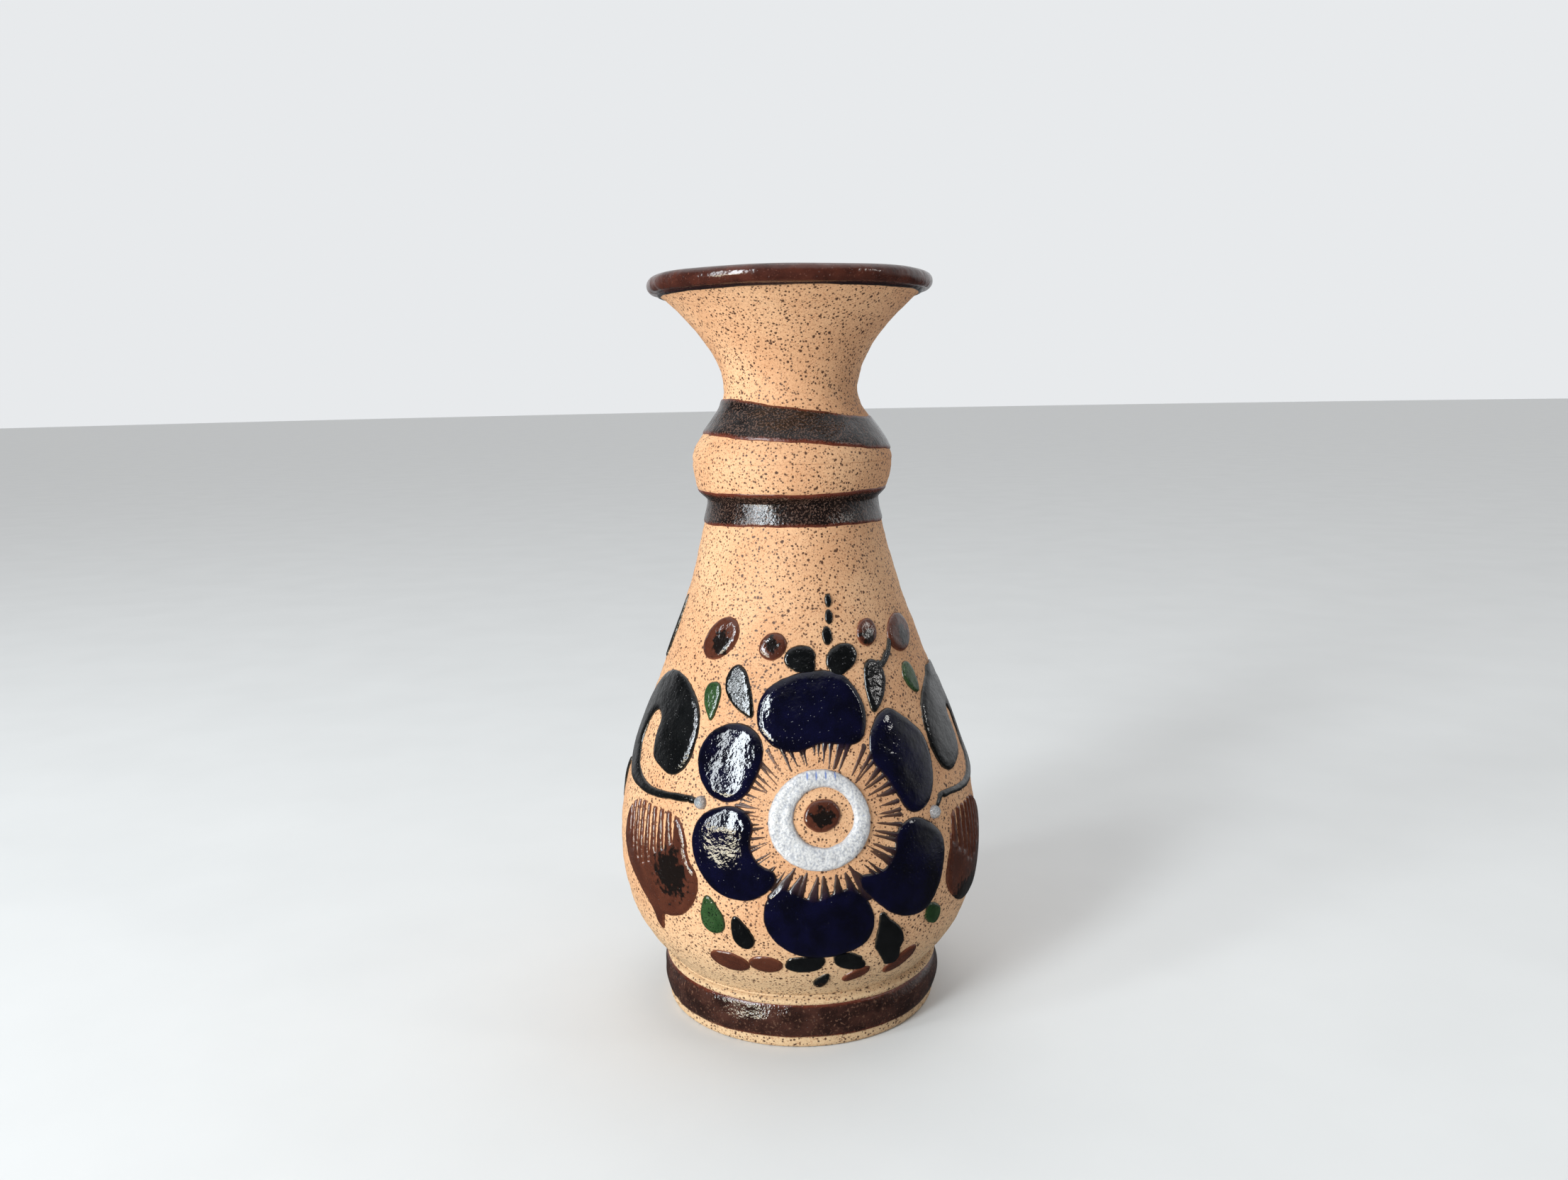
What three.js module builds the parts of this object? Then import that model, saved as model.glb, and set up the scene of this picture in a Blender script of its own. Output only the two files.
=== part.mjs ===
// A small hand-painted stoneware bud vase: a turned body, a neck luted on at the collar, a foot
// ring luted on below, glaze coats on the rim, neck, groove and foot, a glaze lining, and a flower
// with scrolls, buds and leaves in raised enamel.
// Millimetres, +Z up. The origin is the centre of the foot, on the table. The flower faces -Y.
import * as THREE from "three";
import { TessellateModifier } from "three/addons/modifiers/TessellateModifier.js";

// Heights, each counted from the station below it.
const FOOT_RISE = 7.2; // the foot ring
const CREASE_RISE = 0.4; // the crease where the body leaves the ring
const BELLY_RISE = 17.9; // crease to the widest point
const BEND_RISE = 20.5; // widest point to where the wall stops bulging and starts to hollow
const TAPER_RISE = 24.3; // on to the lower edge of the groove
const GROOVE_RISE = 3.3; // to the groove's narrowest
const LEDGE_RISE = 1.8; // to the collar's lower edge
const COLLAR_RISE = 3.6; // to the collar's ridge, where the neck is joined on
const SHOULDER_RISE = 9.6; // ridge to waist
const FLARE_RISE = 14.45; // waist to the centre of the lip's bead

// Radii of the clay's outside.
const FOOT_RADIUS = 19.7;
const CREASE_SETBACK = 0.3; // how far the crease lies in from the foot ring's outside
const BELLY_RADIUS = 26.15;
const BEND_RADIUS = 20.7;
const GROOVE_RADIUS = 11.9;
const TAPER_OUT = 0.7; // these three stand out beyond the groove: the wall's upper end,
const LEDGE_OUT = 1.55; // the collar's lower edge,
const RIDGE_OUT = 2.15; // and the collar's ridge
const WAIST_RADIUS = 9.3;
const LIP_RADIUS = 20; // over the glaze, the widest of the mouth

// Walls, joints and coats.
const BODY_WALL = 2.6;
const NECK_WALL = 2.4;
const FLOOR_SINK = 0.7; // how far the floor lies below the top of the foot ring
const FOOT_RECESS = 2.5; // the hollow under the floor, inside the foot ring
const FOOT_RING_WIDTH = 4.6; // radial width of the ring's standing face, with its rounded edges
const EDGE_ROUND = 0.8; // rounding of the ring's lower edges
const BEAD_RADIUS = 0.8; // clay bead round the lip
const SPIGOT_DEPTH = 2.4; // how far the neck's spigot goes down into the collar
const SPIGOT_WALL = 1.6;
const FIT_GAP = 0.3; // between clay pieces, filled by slip on the real pot
const COAT_GAP = 0.25; // between clay and glaze
const COAT = 0.4; // thickness of a glaze coat
const PEARL_COAT = 0.8; // the two white beads stand higher

// Bands of glaze.
const FOOT_BAND_BARE = 1.5; // bare clay left below and, less, above the foot's band
const FOOT_BAND_HEIGHT = 4.5;
const UPPER_BAND_ABOVE_RIDGE = 2.5; // ridge to the band's lower edge, at the front
const UPPER_BAND_HEIGHT = 4.5;
const UPPER_BAND_TILT = 1.35; // the hand-run band dips by this much towards +X
const RIM_BAND_INSIDE = 3; // how far the rim's glaze runs down inside the mouth

// The painting is drawn on a drum of this radius and then bent on to the wall, so that it keeps
// its angles round the pot. Its centre stands on a row of small strokes above the foot.
const DRUM_RADIUS = 24.8;
const STROKE_ROW_RISE = 8.1;
const FLOWER_REACH = 18.5;

const BOWL_RISE = 5.4; // crease up to where the bowl of the floor meets the inside wall
const BOWL_RADIUS_OUT = 0.6; // how far the bowl's edge lies out from the crease
const FLOOR_EDGE_INSET = 7.1; // the flat floor's edge, in from the foot ring's inside
const SLOPING_WALL = 1.07 * BODY_WALL; // the wall measured level, where it slopes
const GROOVE_BAND_BELOW = 3.2; // the groove's band, below its narrowest
const GROOVE_BAND_ABOVE = 0.9; // and above it
const LIP_OUTSIDE = -40; // degrees round the bead where the clay and,
const RIM_COAT_OUTSIDE = -55; // lower down, the coat leave the outside,
const LIP_INSIDE = 140; // and where both meet the inside

const SIDES = 36; // facets round a turned piece
const LONGEST_EDGE = 4.5; // of a facet on a painted piece

// Heights of the stations above the table.
const CREASE = FOOT_RISE + CREASE_RISE;
const BELLY = CREASE + BELLY_RISE;
const BEND = BELLY + BEND_RISE;
const TAPER_TOP = BEND + TAPER_RISE;
const GROOVE = TAPER_TOP + GROOVE_RISE;
const LEDGE = GROOVE + LEDGE_RISE;
const RIDGE = LEDGE + COLLAR_RISE;
const WAIST = RIDGE + SHOULDER_RISE;
const LIP = WAIST + FLARE_RISE;
const FLOOR = FOOT_RISE - FLOOR_SINK;
const FLOWER_HEIGHT = CREASE + STROKE_ROW_RISE + FLOWER_REACH;

const CREASE_RADIUS = FOOT_RADIUS - CREASE_SETBACK;
const BEAD_CENTRE_RADIUS = LIP_RADIUS - COAT_GAP - COAT - BEAD_RADIUS;
const BORE_WIDER = 0.4; // the wall is thinner at the groove
const BORE_RADIUS = GROOVE_RADIUS - BODY_WALL + BORE_WIDER; // through the groove and the collar
const RING_INNER_RADIUS = FOOT_RADIUS - FOOT_RING_WIDTH;

const FINISHES = {
  clay: { color: 0xd9a06c, roughness: 0.85 },
  dark: { color: 0x2a1a15, roughness: 0.2 },
  rim: { color: 0x4a2018, roughness: 0.2 },
  cobalt: { color: 0x0b0f3c, roughness: 0.15 },
  black: { color: 0x10130f, roughness: 0.2 },
  brown: { color: 0x4c2418, roughness: 0.25 },
  green: { color: 0x1e4a20, roughness: 0.25 },
  white: { color: 0xc4ccd2, roughness: 0.3 },
  lining: { color: 0x9a6a3c, roughness: 0.3 },
};

const vase = new THREE.Group();

// ---- The wall ----

// Outside of the clay as [height, radius, slope], joined by smooth curves.
const OUTSIDE = [
  [CREASE, CREASE_RADIUS, 1.0],
  [BELLY, BELLY_RADIUS, 0],
  [BEND, BEND_RADIUS, -0.38],
  [TAPER_TOP, GROOVE_RADIUS + TAPER_OUT, -0.2],
  [GROOVE, GROOVE_RADIUS, 0],
  [LEDGE, GROOVE_RADIUS + LEDGE_OUT, 0.1],
  [RIDGE, GROOVE_RADIUS + RIDGE_OUT, 0],
  [WAIST, WAIST_RADIUS, 0],
  [LIP - BEAD_RADIUS, BEAD_CENTRE_RADIUS - 0.2, 1.15],
];

// Inside of the clay. It opens out from the floor as a bowl, clear of the foot ring below it.
const FLOOR_EDGE = FLOOR + CREASE_RISE;
const BOWL = CREASE + BOWL_RISE;
const INSIDE = [
  [FLOOR_EDGE, RING_INNER_RADIUS - FLOOR_EDGE_INSET, 3],
  [BOWL, CREASE_RADIUS + BOWL_RADIUS_OUT, 1.1],
  [BELLY, BELLY_RADIUS - BODY_WALL, 0],
  [BEND, BEND_RADIUS - SLOPING_WALL, -0.38],
  [GROOVE, BORE_RADIUS, -0.05],
  [RIDGE, BORE_RADIUS, 0],
  [WAIST, WAIST_RADIUS - NECK_WALL, 0.02],
  [LIP - BEAD_RADIUS / 2, BEAD_CENTRE_RADIUS - 2 * BEAD_RADIUS, 1.2],
];

// Radius of a wall at a height, by the cubic through the two stations round it.
function radiusAt(stations, height) {
  const last = stations.length - 1;
  let i = 1;
  while (i < last && height > stations[i][0]) i++;
  const [z0, r0, slope0] = stations[i - 1];
  const [z1, r1, slope1] = stations[i];
  const span = z1 - z0;
  const t = (height - z0) / span;
  const start = (1 + 2 * t) * (1 - t) ** 2;
  const leave = t * (1 - t) ** 2;
  const arrive = t * t * (t - 1);
  return start * r0 + (1 - start) * r1 + span * (leave * slope0 + arrive * slope1);
}

// The point of the outside wall at a height, moved off along the wall's normal.
function offWall(height, distance) {
  const step = 0.05;
  const rise = radiusAt(OUTSIDE, height + step) - radiusAt(OUTSIDE, height - step);
  const normal = new THREE.Vector2(2 * step, -rise).normalize();
  return new THREE.Vector2(radiusAt(OUTSIDE, height), height).addScaledVector(normal, distance);
}

// Points up a wall between two heights, in equal steps.
function up(stations, low, high, steps) {
  const points = [];
  for (let i = 0; i <= steps; i++) {
    const height = low + ((high - low) * i) / steps;
    points.push(new THREE.Vector2(radiusAt(stations, height), height));
  }
  return points;
}

// Points round the lip's bead, from one angle to another in degrees, 0 pointing outwards.
function roundLip(radius, from, to, steps) {
  const points = [];
  for (let i = 0; i <= steps; i++) {
    const angle = THREE.MathUtils.degToRad(from + ((to - from) * i) / steps);
    const x = BEAD_CENTRE_RADIUS + radius * Math.cos(angle);
    points.push(new THREE.Vector2(x, LIP + radius * Math.sin(angle)));
  }
  return points;
}

// A profile moved sideways, to the right of the way it is walked.
function offset(profile, distance) {
  return profile.map((point, i) => {
    const before = profile[Math.max(i - 1, 0)];
    const after = profile[Math.min(i + 1, profile.length - 1)];
    const along = new THREE.Vector2().subVectors(after, before).normalize();
    const moved = new THREE.Vector2(point.x + along.y * distance, point.y - along.x * distance);
    if (point.x === 0) moved.x = 0;
    return moved;
  });
}

// A coat between two distances off a profile that is walked with the clay on its left.
function coatOn(profile, near, far) {
  return [...offset(profile, far), ...offset(profile, near).reverse()];
}

// ---- Making and placing pieces ----

function add(name, finish, geometry) {
  const material = new THREE.MeshStandardMaterial({ ...FINISHES[finish], metalness: 0 });
  const mesh = new THREE.Mesh(geometry, material);
  mesh.name = name;
  vase.add(mesh);
}

// A turned piece. Its profile is walked up the outside and down the inside.
function turned(profile) {
  const closed = profile[0].x === 0 ? profile : [...profile, profile[0]];
  return new THREE.LatheGeometry(closed, SIDES).rotateX(Math.PI / 2);
}

// Every vertex of a geometry moved to where `place(x, y, z)` says.
function moveVertices(geometry, place) {
  const position = geometry.getAttribute("position");
  for (let i = 0; i < position.count; i++) {
    const { x, y, z } = place(position.getX(i), position.getY(i), position.getZ(i));
    position.setXYZ(i, x, y, z);
  }
  return geometry;
}

// The point that stands off the outside wall, `turn` radians round from the front towards +X.
function onWall(turn, height, distance) {
  const point = offWall(height, distance);
  return new THREE.Vector3(point.x * Math.sin(turn), -point.x * Math.cos(turn), point.y);
}

// A band of glaze round the wall. It is turned as a thin ring, as wide as the coat, and each of
// its points is then set off the wall at its own height, lower by `tilt` on the +X side.
function band(low, high, tilt, steps) {
  const outer = [];
  const inner = [];
  for (let i = 0; i <= steps; i++) {
    const height = low + ((high - low) * i) / steps;
    outer.push(new THREE.Vector2(COAT_GAP + COAT, height));
    inner.push(new THREE.Vector2(COAT_GAP, height));
  }
  const profile = [...outer, ...inner.reverse()];
  return moveVertices(turned(profile), (x, y, z) => {
    const turn = Math.atan2(x, -y);
    return onWall(turn, z - tilt * Math.sin(turn), Math.hypot(x, y));
  });
}

// A painted piece: its outline on the drum, given thickness, faceted finely enough to bend, and
// laid on the wall round the axis `facing`, 0 for the front and PI for the back.
function painted(outline, facing, thickness) {
  const flat = new THREE.ExtrudeGeometry(outline, { depth: thickness, bevelEnabled: false });
  flat.deleteAttribute("normal");
  flat.deleteAttribute("uv");
  const fine = new TessellateModifier(LONGEST_EDGE, 12).modify(flat);
  return moveVertices(fine, (x, y, z) =>
    onWall(facing + x / DRUM_RADIUS, FLOWER_HEIGHT + y, COAT_GAP + z),
  );
}

// ---- Outlines on the drum: [across, up] from the flower's centre ----

// A closed smooth outline through the points.
function smooth(points, count) {
  const knots = points.map(([x, y]) => new THREE.Vector3(x, y, 0));
  const curve = new THREE.CatmullRomCurve3(knots, true, "centripetal");
  return new THREE.Shape(curve.getSpacedPoints(count).slice(0, -1));
}

// An egg whose narrow end points along `lean` degrees. `point` 0 makes it a plain oval, and 0.8
// almost a leaf.
function egg(across, height, long, wide, lean, point = 0, count = 12) {
  const turn = THREE.MathUtils.degToRad(lean);
  const points = [];
  for (let i = 0; i < count; i++) {
    const angle = (2 * Math.PI * i) / count;
    const x = (long / 2) * Math.cos(angle);
    const y = (wide / 2) * Math.sin(angle) * (1 - point * Math.cos(angle));
    points.push(new THREE.Vector2(x, y).rotateAround(new THREE.Vector2(), turn));
  }
  return new THREE.Shape(points.map((p) => p.add(new THREE.Vector2(across, height))));
}

// A brush stroke through the points, as wide as `width` in the middle and narrower at its ends.
function stroke(points, width, steps) {
  const curve = new THREE.SplineCurve(points.map(([x, y]) => new THREE.Vector2(x, y)));
  const left = [];
  const right = [];
  for (let i = 0; i <= steps; i++) {
    const t = i / steps;
    const half = (width / 2) * (0.45 + 0.55 * Math.sin(Math.PI * t));
    const centre = curve.getPoint(t);
    const along = curve.getTangent(t);
    left.push(new THREE.Vector2(centre.x - along.y * half, centre.y + along.x * half));
    right.push(new THREE.Vector2(centre.x + along.y * half, centre.y - along.x * half));
  }
  return new THREE.Shape([...left, ...right.reverse()]);
}

// The white ring round the flower's eye.
function flowerRing() {
  const ring = egg(-0.1, -0.1, 13.4, 12.6, 0, 0, 24);
  ring.holes.push(new THREE.Path(egg(0.4, 0.3, 7.8, 7.4, 0, 0, 20).getPoints()));
  return ring;
}

// A stem that leaves a pearl beside the flower, climbs round the side of the pot and turns over
// into a fat hanging comma. `side` is -1 for the left one and 1 for its mirror image.
function scroll(side, outwards, lift) {
  const left = [
    [17.9, 1.9], [20.6, 1.9], [24.0, 1.6], [27.6, 1.7], [30.6, 2.6], [33.0, 4.3], [34.2, 6.9],
    [33.3, 9.4], [31.1, 10.8], [29.2, 10.2], [29.0, 8.0], [28.3, 5.4], [25.4, 4.2], [22.3, 3.8],
    [20.0, 5.3], [19.1, 7.8], [19.1, 10.8], [20.6, 13.6], [25.1, 16.1], [30.4, 16.5], [35.0, 14.6],
    [38.6, 10.6], [39.0, 5.2], [34.8, 1.2], [29.9, 0.4], [25.4, 0.4], [20.6, 0.9], [17.9, 1.2],
  ];
  return smooth(left.map(([x, y]) => [side * (x + outwards), y + lift]), 60);
}

const PETALS = {
  petal_top: [
    [0.7, 18.0], [-4.5, 17.2], [-8.3, 15.2], [-8.9, 11.8], [-6.2, 9.1], [-2.8, 8.5], [0.5, 9.4],
    [6.6, 9.2], [8.3, 12.8], [6.0, 16.8],
  ],
  petal_upper_right: [
    [12.8, 12.3], [10.2, 11.4], [8.5, 9.2], [8.3, 6.6], [9.8, 4.6], [11.3, 1.8], [12.6, -0.3],
    [15.0, -0.5], [17.5, 1.6], [18.9, 5.2], [18.6, 8.2], [16.0, 10.6],
  ],
  petal_lower_right: [
    [12.6, -1.6], [10.4, -2.8], [9.7, -5.2], [7.8, -7.3], [4.6, -7.9], [7.2, -11.5],
    [10.5, -13.9], [14.0, -14.2], [16.3, -12.2], [17.4, -9.2], [17.8, -5.4], [15.8, -2.8],
  ],
  petal_bottom: [
    [-5.0, -8.8], [-7.0, -11.0], [-6.8, -14.6], [-4.4, -17.4], [-1.0, -18.5], [2.5, -18.2],
    [5.6, -16.8], [6.4, -14.0], [5.4, -11.0], [3.2, -9.2], [-1.2, -10.4],
  ],
  petal_lower_left: [
    [-13.2, 1.1], [-16.0, -0.5], [-17.0, -3.3], [-15.9, -6.8], [-13.0, -9.8], [-9.4, -10.3],
    [-6.8, -8.8], [-5.8, -6.9], [-7.9, -5.6], [-9.2, -3.4], [-9.0, -0.6], [-10.2, 1.0],
  ],
  petal_upper_left: [
    [-11.4, 11.3], [-14.4, 11.0], [-16.8, 9.6], [-17.9, 7.4], [-17.2, 4.9], [-15.2, 2.8],
    [-12.8, 2.1], [-10.5, 2.7], [-8.9, 5.0], [-8.0, 8.4], [-9.1, 10.4],
  ],
};

const BUD_LEFT = [
  [-29.3, -0.9], [-32.0, -3.2], [-32.4, -6.9], [-30.8, -10.1], [-27.7, -12.8], [-25.2, -15.2],
  [-24.5, -17.9], [-23.6, -17.9], [-22.9, -15.6], [-20.0, -14.8], [-17.6, -13.0], [-16.3, -10.6],
  [-16.2, -8.4], [-17.6, -6.0], [-18.4, -2.9], [-20.2, -1.0], [-24.6, -0.7],
];
const BUD_RIGHT = [
  [21.0, -2.8], [19.6, -6.0], [18.6, -9.6], [18.6, -12.2], [21.4, -15.2], [25.4, -16.6],
  [30.0, -15.4], [32.4, -12.0], [32.6, -8.0], [31.4, -4.4], [28.8, -2.7], [25.0, -2.5],
];

// ---- The clay ----

function bodyProfile() {
  const jointHeight = RIDGE - FIT_GAP / 2;
  const rebateRadius = BORE_RADIUS + SPIGOT_WALL + FIT_GAP;
  const rebateFloor = RIDGE - SPIGOT_DEPTH - FIT_GAP;
  const bossRadius = RING_INNER_RADIUS - FIT_GAP;
  return [
    new THREE.Vector2(0, FOOT_RECESS),
    new THREE.Vector2(bossRadius - EDGE_ROUND, FOOT_RECESS),
    new THREE.Vector2(bossRadius, FOOT_RECESS + EDGE_ROUND),
    new THREE.Vector2(bossRadius, FOOT_RISE + FIT_GAP),
    ...up(OUTSIDE, CREASE, BELLY, 4),
    ...up(OUTSIDE, BELLY, BEND, 3).slice(1),
    ...up(OUTSIDE, BEND, TAPER_TOP, 3).slice(1),
    ...up(OUTSIDE, TAPER_TOP, GROOVE, 1).slice(1),
    ...up(OUTSIDE, GROOVE, LEDGE, 2).slice(1),
    new THREE.Vector2(radiusAt(OUTSIDE, jointHeight), jointHeight),
    new THREE.Vector2(rebateRadius, jointHeight),
    new THREE.Vector2(rebateRadius, rebateFloor),
    ...up(INSIDE, GROOVE, rebateFloor, 1).reverse(),
    ...up(INSIDE, BEND, GROOVE, 2).reverse().slice(1),
    ...up(INSIDE, BELLY, BEND, 2).reverse().slice(1),
    ...up(INSIDE, BOWL, BELLY, 1).reverse().slice(1),
    ...up(INSIDE, FLOOR_EDGE, BOWL, 2).reverse().slice(1),
    new THREE.Vector2(0, FLOOR),
  ];
}

function neckProfile() {
  const jointHeight = RIDGE + FIT_GAP / 2;
  const spigotRadius = BORE_RADIUS + SPIGOT_WALL;
  const spigotFoot = RIDGE - SPIGOT_DEPTH;
  return [
    new THREE.Vector2(BORE_RADIUS, spigotFoot),
    new THREE.Vector2(spigotRadius, spigotFoot),
    new THREE.Vector2(spigotRadius, jointHeight),
    ...up(OUTSIDE, jointHeight, WAIST, 5),
    ...up(OUTSIDE, WAIST, LIP - 2 * BEAD_RADIUS, 5).slice(1),
    ...roundLip(BEAD_RADIUS, LIP_OUTSIDE, LIP_INSIDE, 4),
    ...up(INSIDE, WAIST, LIP - 2.5 * BEAD_RADIUS, 4).reverse(),
    ...up(INSIDE, RIDGE, WAIST, 3).reverse().slice(1),
  ];
}

function footRingProfile() {
  const outer = FOOT_RADIUS;
  const inner = RING_INNER_RADIUS;
  return [
    new THREE.Vector2(inner + EDGE_ROUND, 0),
    new THREE.Vector2(outer - EDGE_ROUND, 0),
    new THREE.Vector2(outer, EDGE_ROUND),
    new THREE.Vector2(outer, FOOT_RISE - EDGE_ROUND),
    new THREE.Vector2(outer - EDGE_ROUND / 2, FOOT_RISE),
    new THREE.Vector2(inner, FOOT_RISE),
    new THREE.Vector2(inner, EDGE_ROUND),
  ];
}

// ---- The coats that run right round ----

function liningProfile() {
  const inside = [
    new THREE.Vector2(0, FLOOR),
    ...up(INSIDE, FLOOR_EDGE, BOWL, 2),
    ...up(INSIDE, BOWL, BELLY, 1).slice(1),
    ...up(INSIDE, BELLY, BEND, 2).slice(1),
    ...up(INSIDE, BEND, GROOVE, 2).slice(1),
    ...up(INSIDE, GROOVE, RIDGE, 1).slice(1),
    ...up(INSIDE, RIDGE, WAIST, 3).slice(1),
    ...up(INSIDE, WAIST, LIP - RIM_BAND_INSIDE - 1, 3).slice(1),
  ];
  return [...offset(inside, -COAT_GAP), ...offset(inside, -COAT_GAP - COAT).reverse()];
}

function rimProfile() {
  const over = [
    ...roundLip(BEAD_RADIUS, RIM_COAT_OUTSIDE, LIP_INSIDE, 5),
    ...up(INSIDE, LIP - RIM_BAND_INSIDE, LIP - 2.5 * BEAD_RADIUS, 1).reverse(),
  ];
  return coatOn(over, COAT_GAP, COAT_GAP + COAT);
}

function footBandProfile() {
  const near = FOOT_RADIUS + COAT_GAP;
  const far = near + COAT;
  const high = FOOT_BAND_BARE + FOOT_BAND_HEIGHT;
  return [
    new THREE.Vector2(near, FOOT_BAND_BARE),
    new THREE.Vector2(far, FOOT_BAND_BARE + COAT),
    new THREE.Vector2(far, high - COAT),
    new THREE.Vector2(near, high),
  ];
}

add("vessel_body", "clay", turned(bodyProfile()));
add("neck", "clay", turned(neckProfile()));
add("foot_ring", "clay", turned(footRingProfile()));
add("lining_glaze", "lining", turned(liningProfile()));
add("rim_glaze", "rim", turned(rimProfile()));
add("foot_band_glaze", "dark", turned(footBandProfile()));
const grooveBand = band(GROOVE - GROOVE_BAND_BELOW, GROOVE + GROOVE_BAND_ABOVE, 0, 2);
add("groove_band_glaze", "dark", grooveBand);
const low = RIDGE + UPPER_BAND_ABOVE_RIDGE;
const upperBand = band(low, low + UPPER_BAND_HEIGHT, UPPER_BAND_TILT, 3);
add("upper_band_glaze", "dark", upperBand);

// ---- The painting ----

const FRONT = 0;
const BACK = Math.PI;

for (const [name, points] of Object.entries(PETALS))
  add(name, "cobalt", painted(smooth(points, 26), FRONT, COAT));

// [name, finish, outline]
const FRONT_PIECES = [
  ["flower_ring", "white", flowerRing()],
  ["flower_eye", "brown", egg(0.2, 0.55, 4.9, 4.1, 12)],
  ["scroll_left", "black", scroll(-1, 0, 0)],
  ["scroll_right", "black", scroll(1, 0.8, -1.4)],
  ["bud_left", "brown", smooth(BUD_LEFT, 34)],
  ["bud_right", "brown", smooth(BUD_RIGHT, 28)],
  ["sepal_left", "black", egg(-2.1, 19.8, 5.2, 2.4, 5)],
  ["sepal_right", "black", egg(5.8, 19.5, 5.8, 2.8, 10)],
  ["leaf_black_upper_left", "black", egg(-12.4, 15.3, 7.4, 3.8, -50, 0.5)],
  ["leaf_green_upper_left", "green", egg(-17.6, 13.9, 5.0, 3.2, -80, 0.5)],
  ["leaf_black_upper_right", "black", egg(11.3, 15.5, 6.6, 3.8, -112, 0.5)],
  ["leaf_green_upper_right", "green", egg(20.6, 15.4, 4.0, 3.0, -60, 0.3)],
  ["dot_large_left", "brown", egg(-18.4, 21.8, 8.6, 5.2, 20)],
  ["dot_small_left", "brown", egg(-7.2, 21.2, 5.0, 3.1, 8)],
  ["dot_small_right", "brown", egg(12.3, 22.3, 4.6, 3.0, 12)],
  ["dot_large_right", "brown", egg(21.9, 21.4, 8.4, 4.4, 8)],
  ["dot_stem_right", "black", stroke([[17.0, 19.5], [15.6, 18.9], [14.4, 18.0]], 1.2, 4)],
  ["leaf_green_lower_left", "green", egg(-14.4, -13.2, 5.0, 2.8, 100, 0.4)],
  ["leaf_black_lower_left", "black", egg(-10.5, -15.2, 4.8, 2.5, 108, 0.4)],
  ["leaf_green_lower_right", "green", egg(16.5, -15.6, 3.2, 2.2, -60)],
  ["leaf_black_lower_right", "black", egg(9.2, -16.9, 6.2, 3.4, 112, 0.4)],
  ["dash_brown_left_1", "brown", egg(-12.9, -20.2, 5.6, 2.8, -8)],
  ["dash_brown_left_2", "brown", egg(-7.7, -20.0, 4.2, 2.2, -2)],
  ["dash_black_left", "black", egg(-2.5, -20.1, 4.6, 1.7, 0)],
  ["dash_black_right", "black", egg(3.9, -20.2, 4.4, 1.6, -20)],
  ["dash_brown_right_1", "brown", egg(5.2, -22.5, 3.8, 1.4, 24)],
  ["dash_brown_right_2", "brown", egg(12.2, -21.7, 4.8, 1.9, 35)],
  ["drop_black", "black", egg(0.2, -23.1, 3.0, 1.8, 60, 0.4)],
];
for (const [name, finish, outline] of FRONT_PIECES)
  add(name, finish, painted(outline, FRONT, COAT));

// The three dashes over the flower, each larger than the one above it.
[[4.5, 26.8, 1.4], [4.2, 24.7, 1.6], [3.4, 22.4, 2.0]].forEach(([across, height, size], i) => {
  const dash = egg(across, height, size, 0.85 * size, 80, 0, 10);
  add(`tip_dash_${i + 1}`, "black", painted(dash, FRONT, COAT));
});

[["pearl_left", -16.4, 1.4], ["pearl_right", 17.0, -1.6]].forEach(([name, across, height]) => {
  add(name, "white", painted(egg(across, height, 1.8, 1.8, 0, 0, 10), FRONT, PEARL_COAT));
});

// The spray on the back: a bowed stem with a bud at its head, and leaves that rise from it in pairs.
const BACK_STEM = [[1.0, -17.5], [-1.4, -9.0], [0.6, 0.0], [0.0, 8.5]];
add("back_stem", "black", painted(stroke(BACK_STEM, 1.6, 8), BACK, COAT));
add("back_bud", "brown", painted(egg(0, 14.6, 10.4, 8.6, 90, 0.2, 18), BACK, COAT));
const LEAF_PAIRS = [
  { finish: "green", height: 3.5, away: 7.6, long: 9.2, wide: 4.2, lean: 40 },
  { finish: "black", height: -6.5, away: 8.0, long: 10.4, wide: 4.6, lean: 32 },
];
for (const { finish, height, away, long, wide, lean } of LEAF_PAIRS) {
  const left = egg(-away, height, long, wide, 180 - lean, 0.4);
  const right = egg(away, height, long, wide, lean, 0.4);
  add(`back_leaf_${finish}_left`, finish, painted(left, BACK, COAT));
  add(`back_leaf_${finish}_right`, finish, painted(right, BACK, COAT));
}
for (const [side, sign] of [["left", -1], ["right", 1]]) {
  add(`back_dot_${side}`, "brown", painted(egg(sign * 11, 17.5, 5.4, 3.8, 0), BACK, COAT));
  add(`back_dash_${side}`, "brown", painted(egg(sign * 6, -20.4, 5.4, 2.2, sign * 6), BACK, COAT));
}

export default vase;
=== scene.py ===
"""Looks of a small hand-painted stoneware bud vase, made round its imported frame.

Every clay piece is turned again with throwing lines and a slight wobble, every coat of glaze runs
over it with a hand-run edge, and every enamel stroke is a domed pad on the clay. Sizes are
millimetres and angles degrees unless a name or comment says otherwise, and a turn, in radians, is
measured round the pot from the flower, towards +X.
"""
import logging
import math
from collections.abc import Callable, Iterable
from dataclasses import dataclass, field
from enum import Enum

import bpy
import numpy as np
from mathutils import Matrix, Vector
from mathutils.bvhtree import BVHTree


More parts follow.
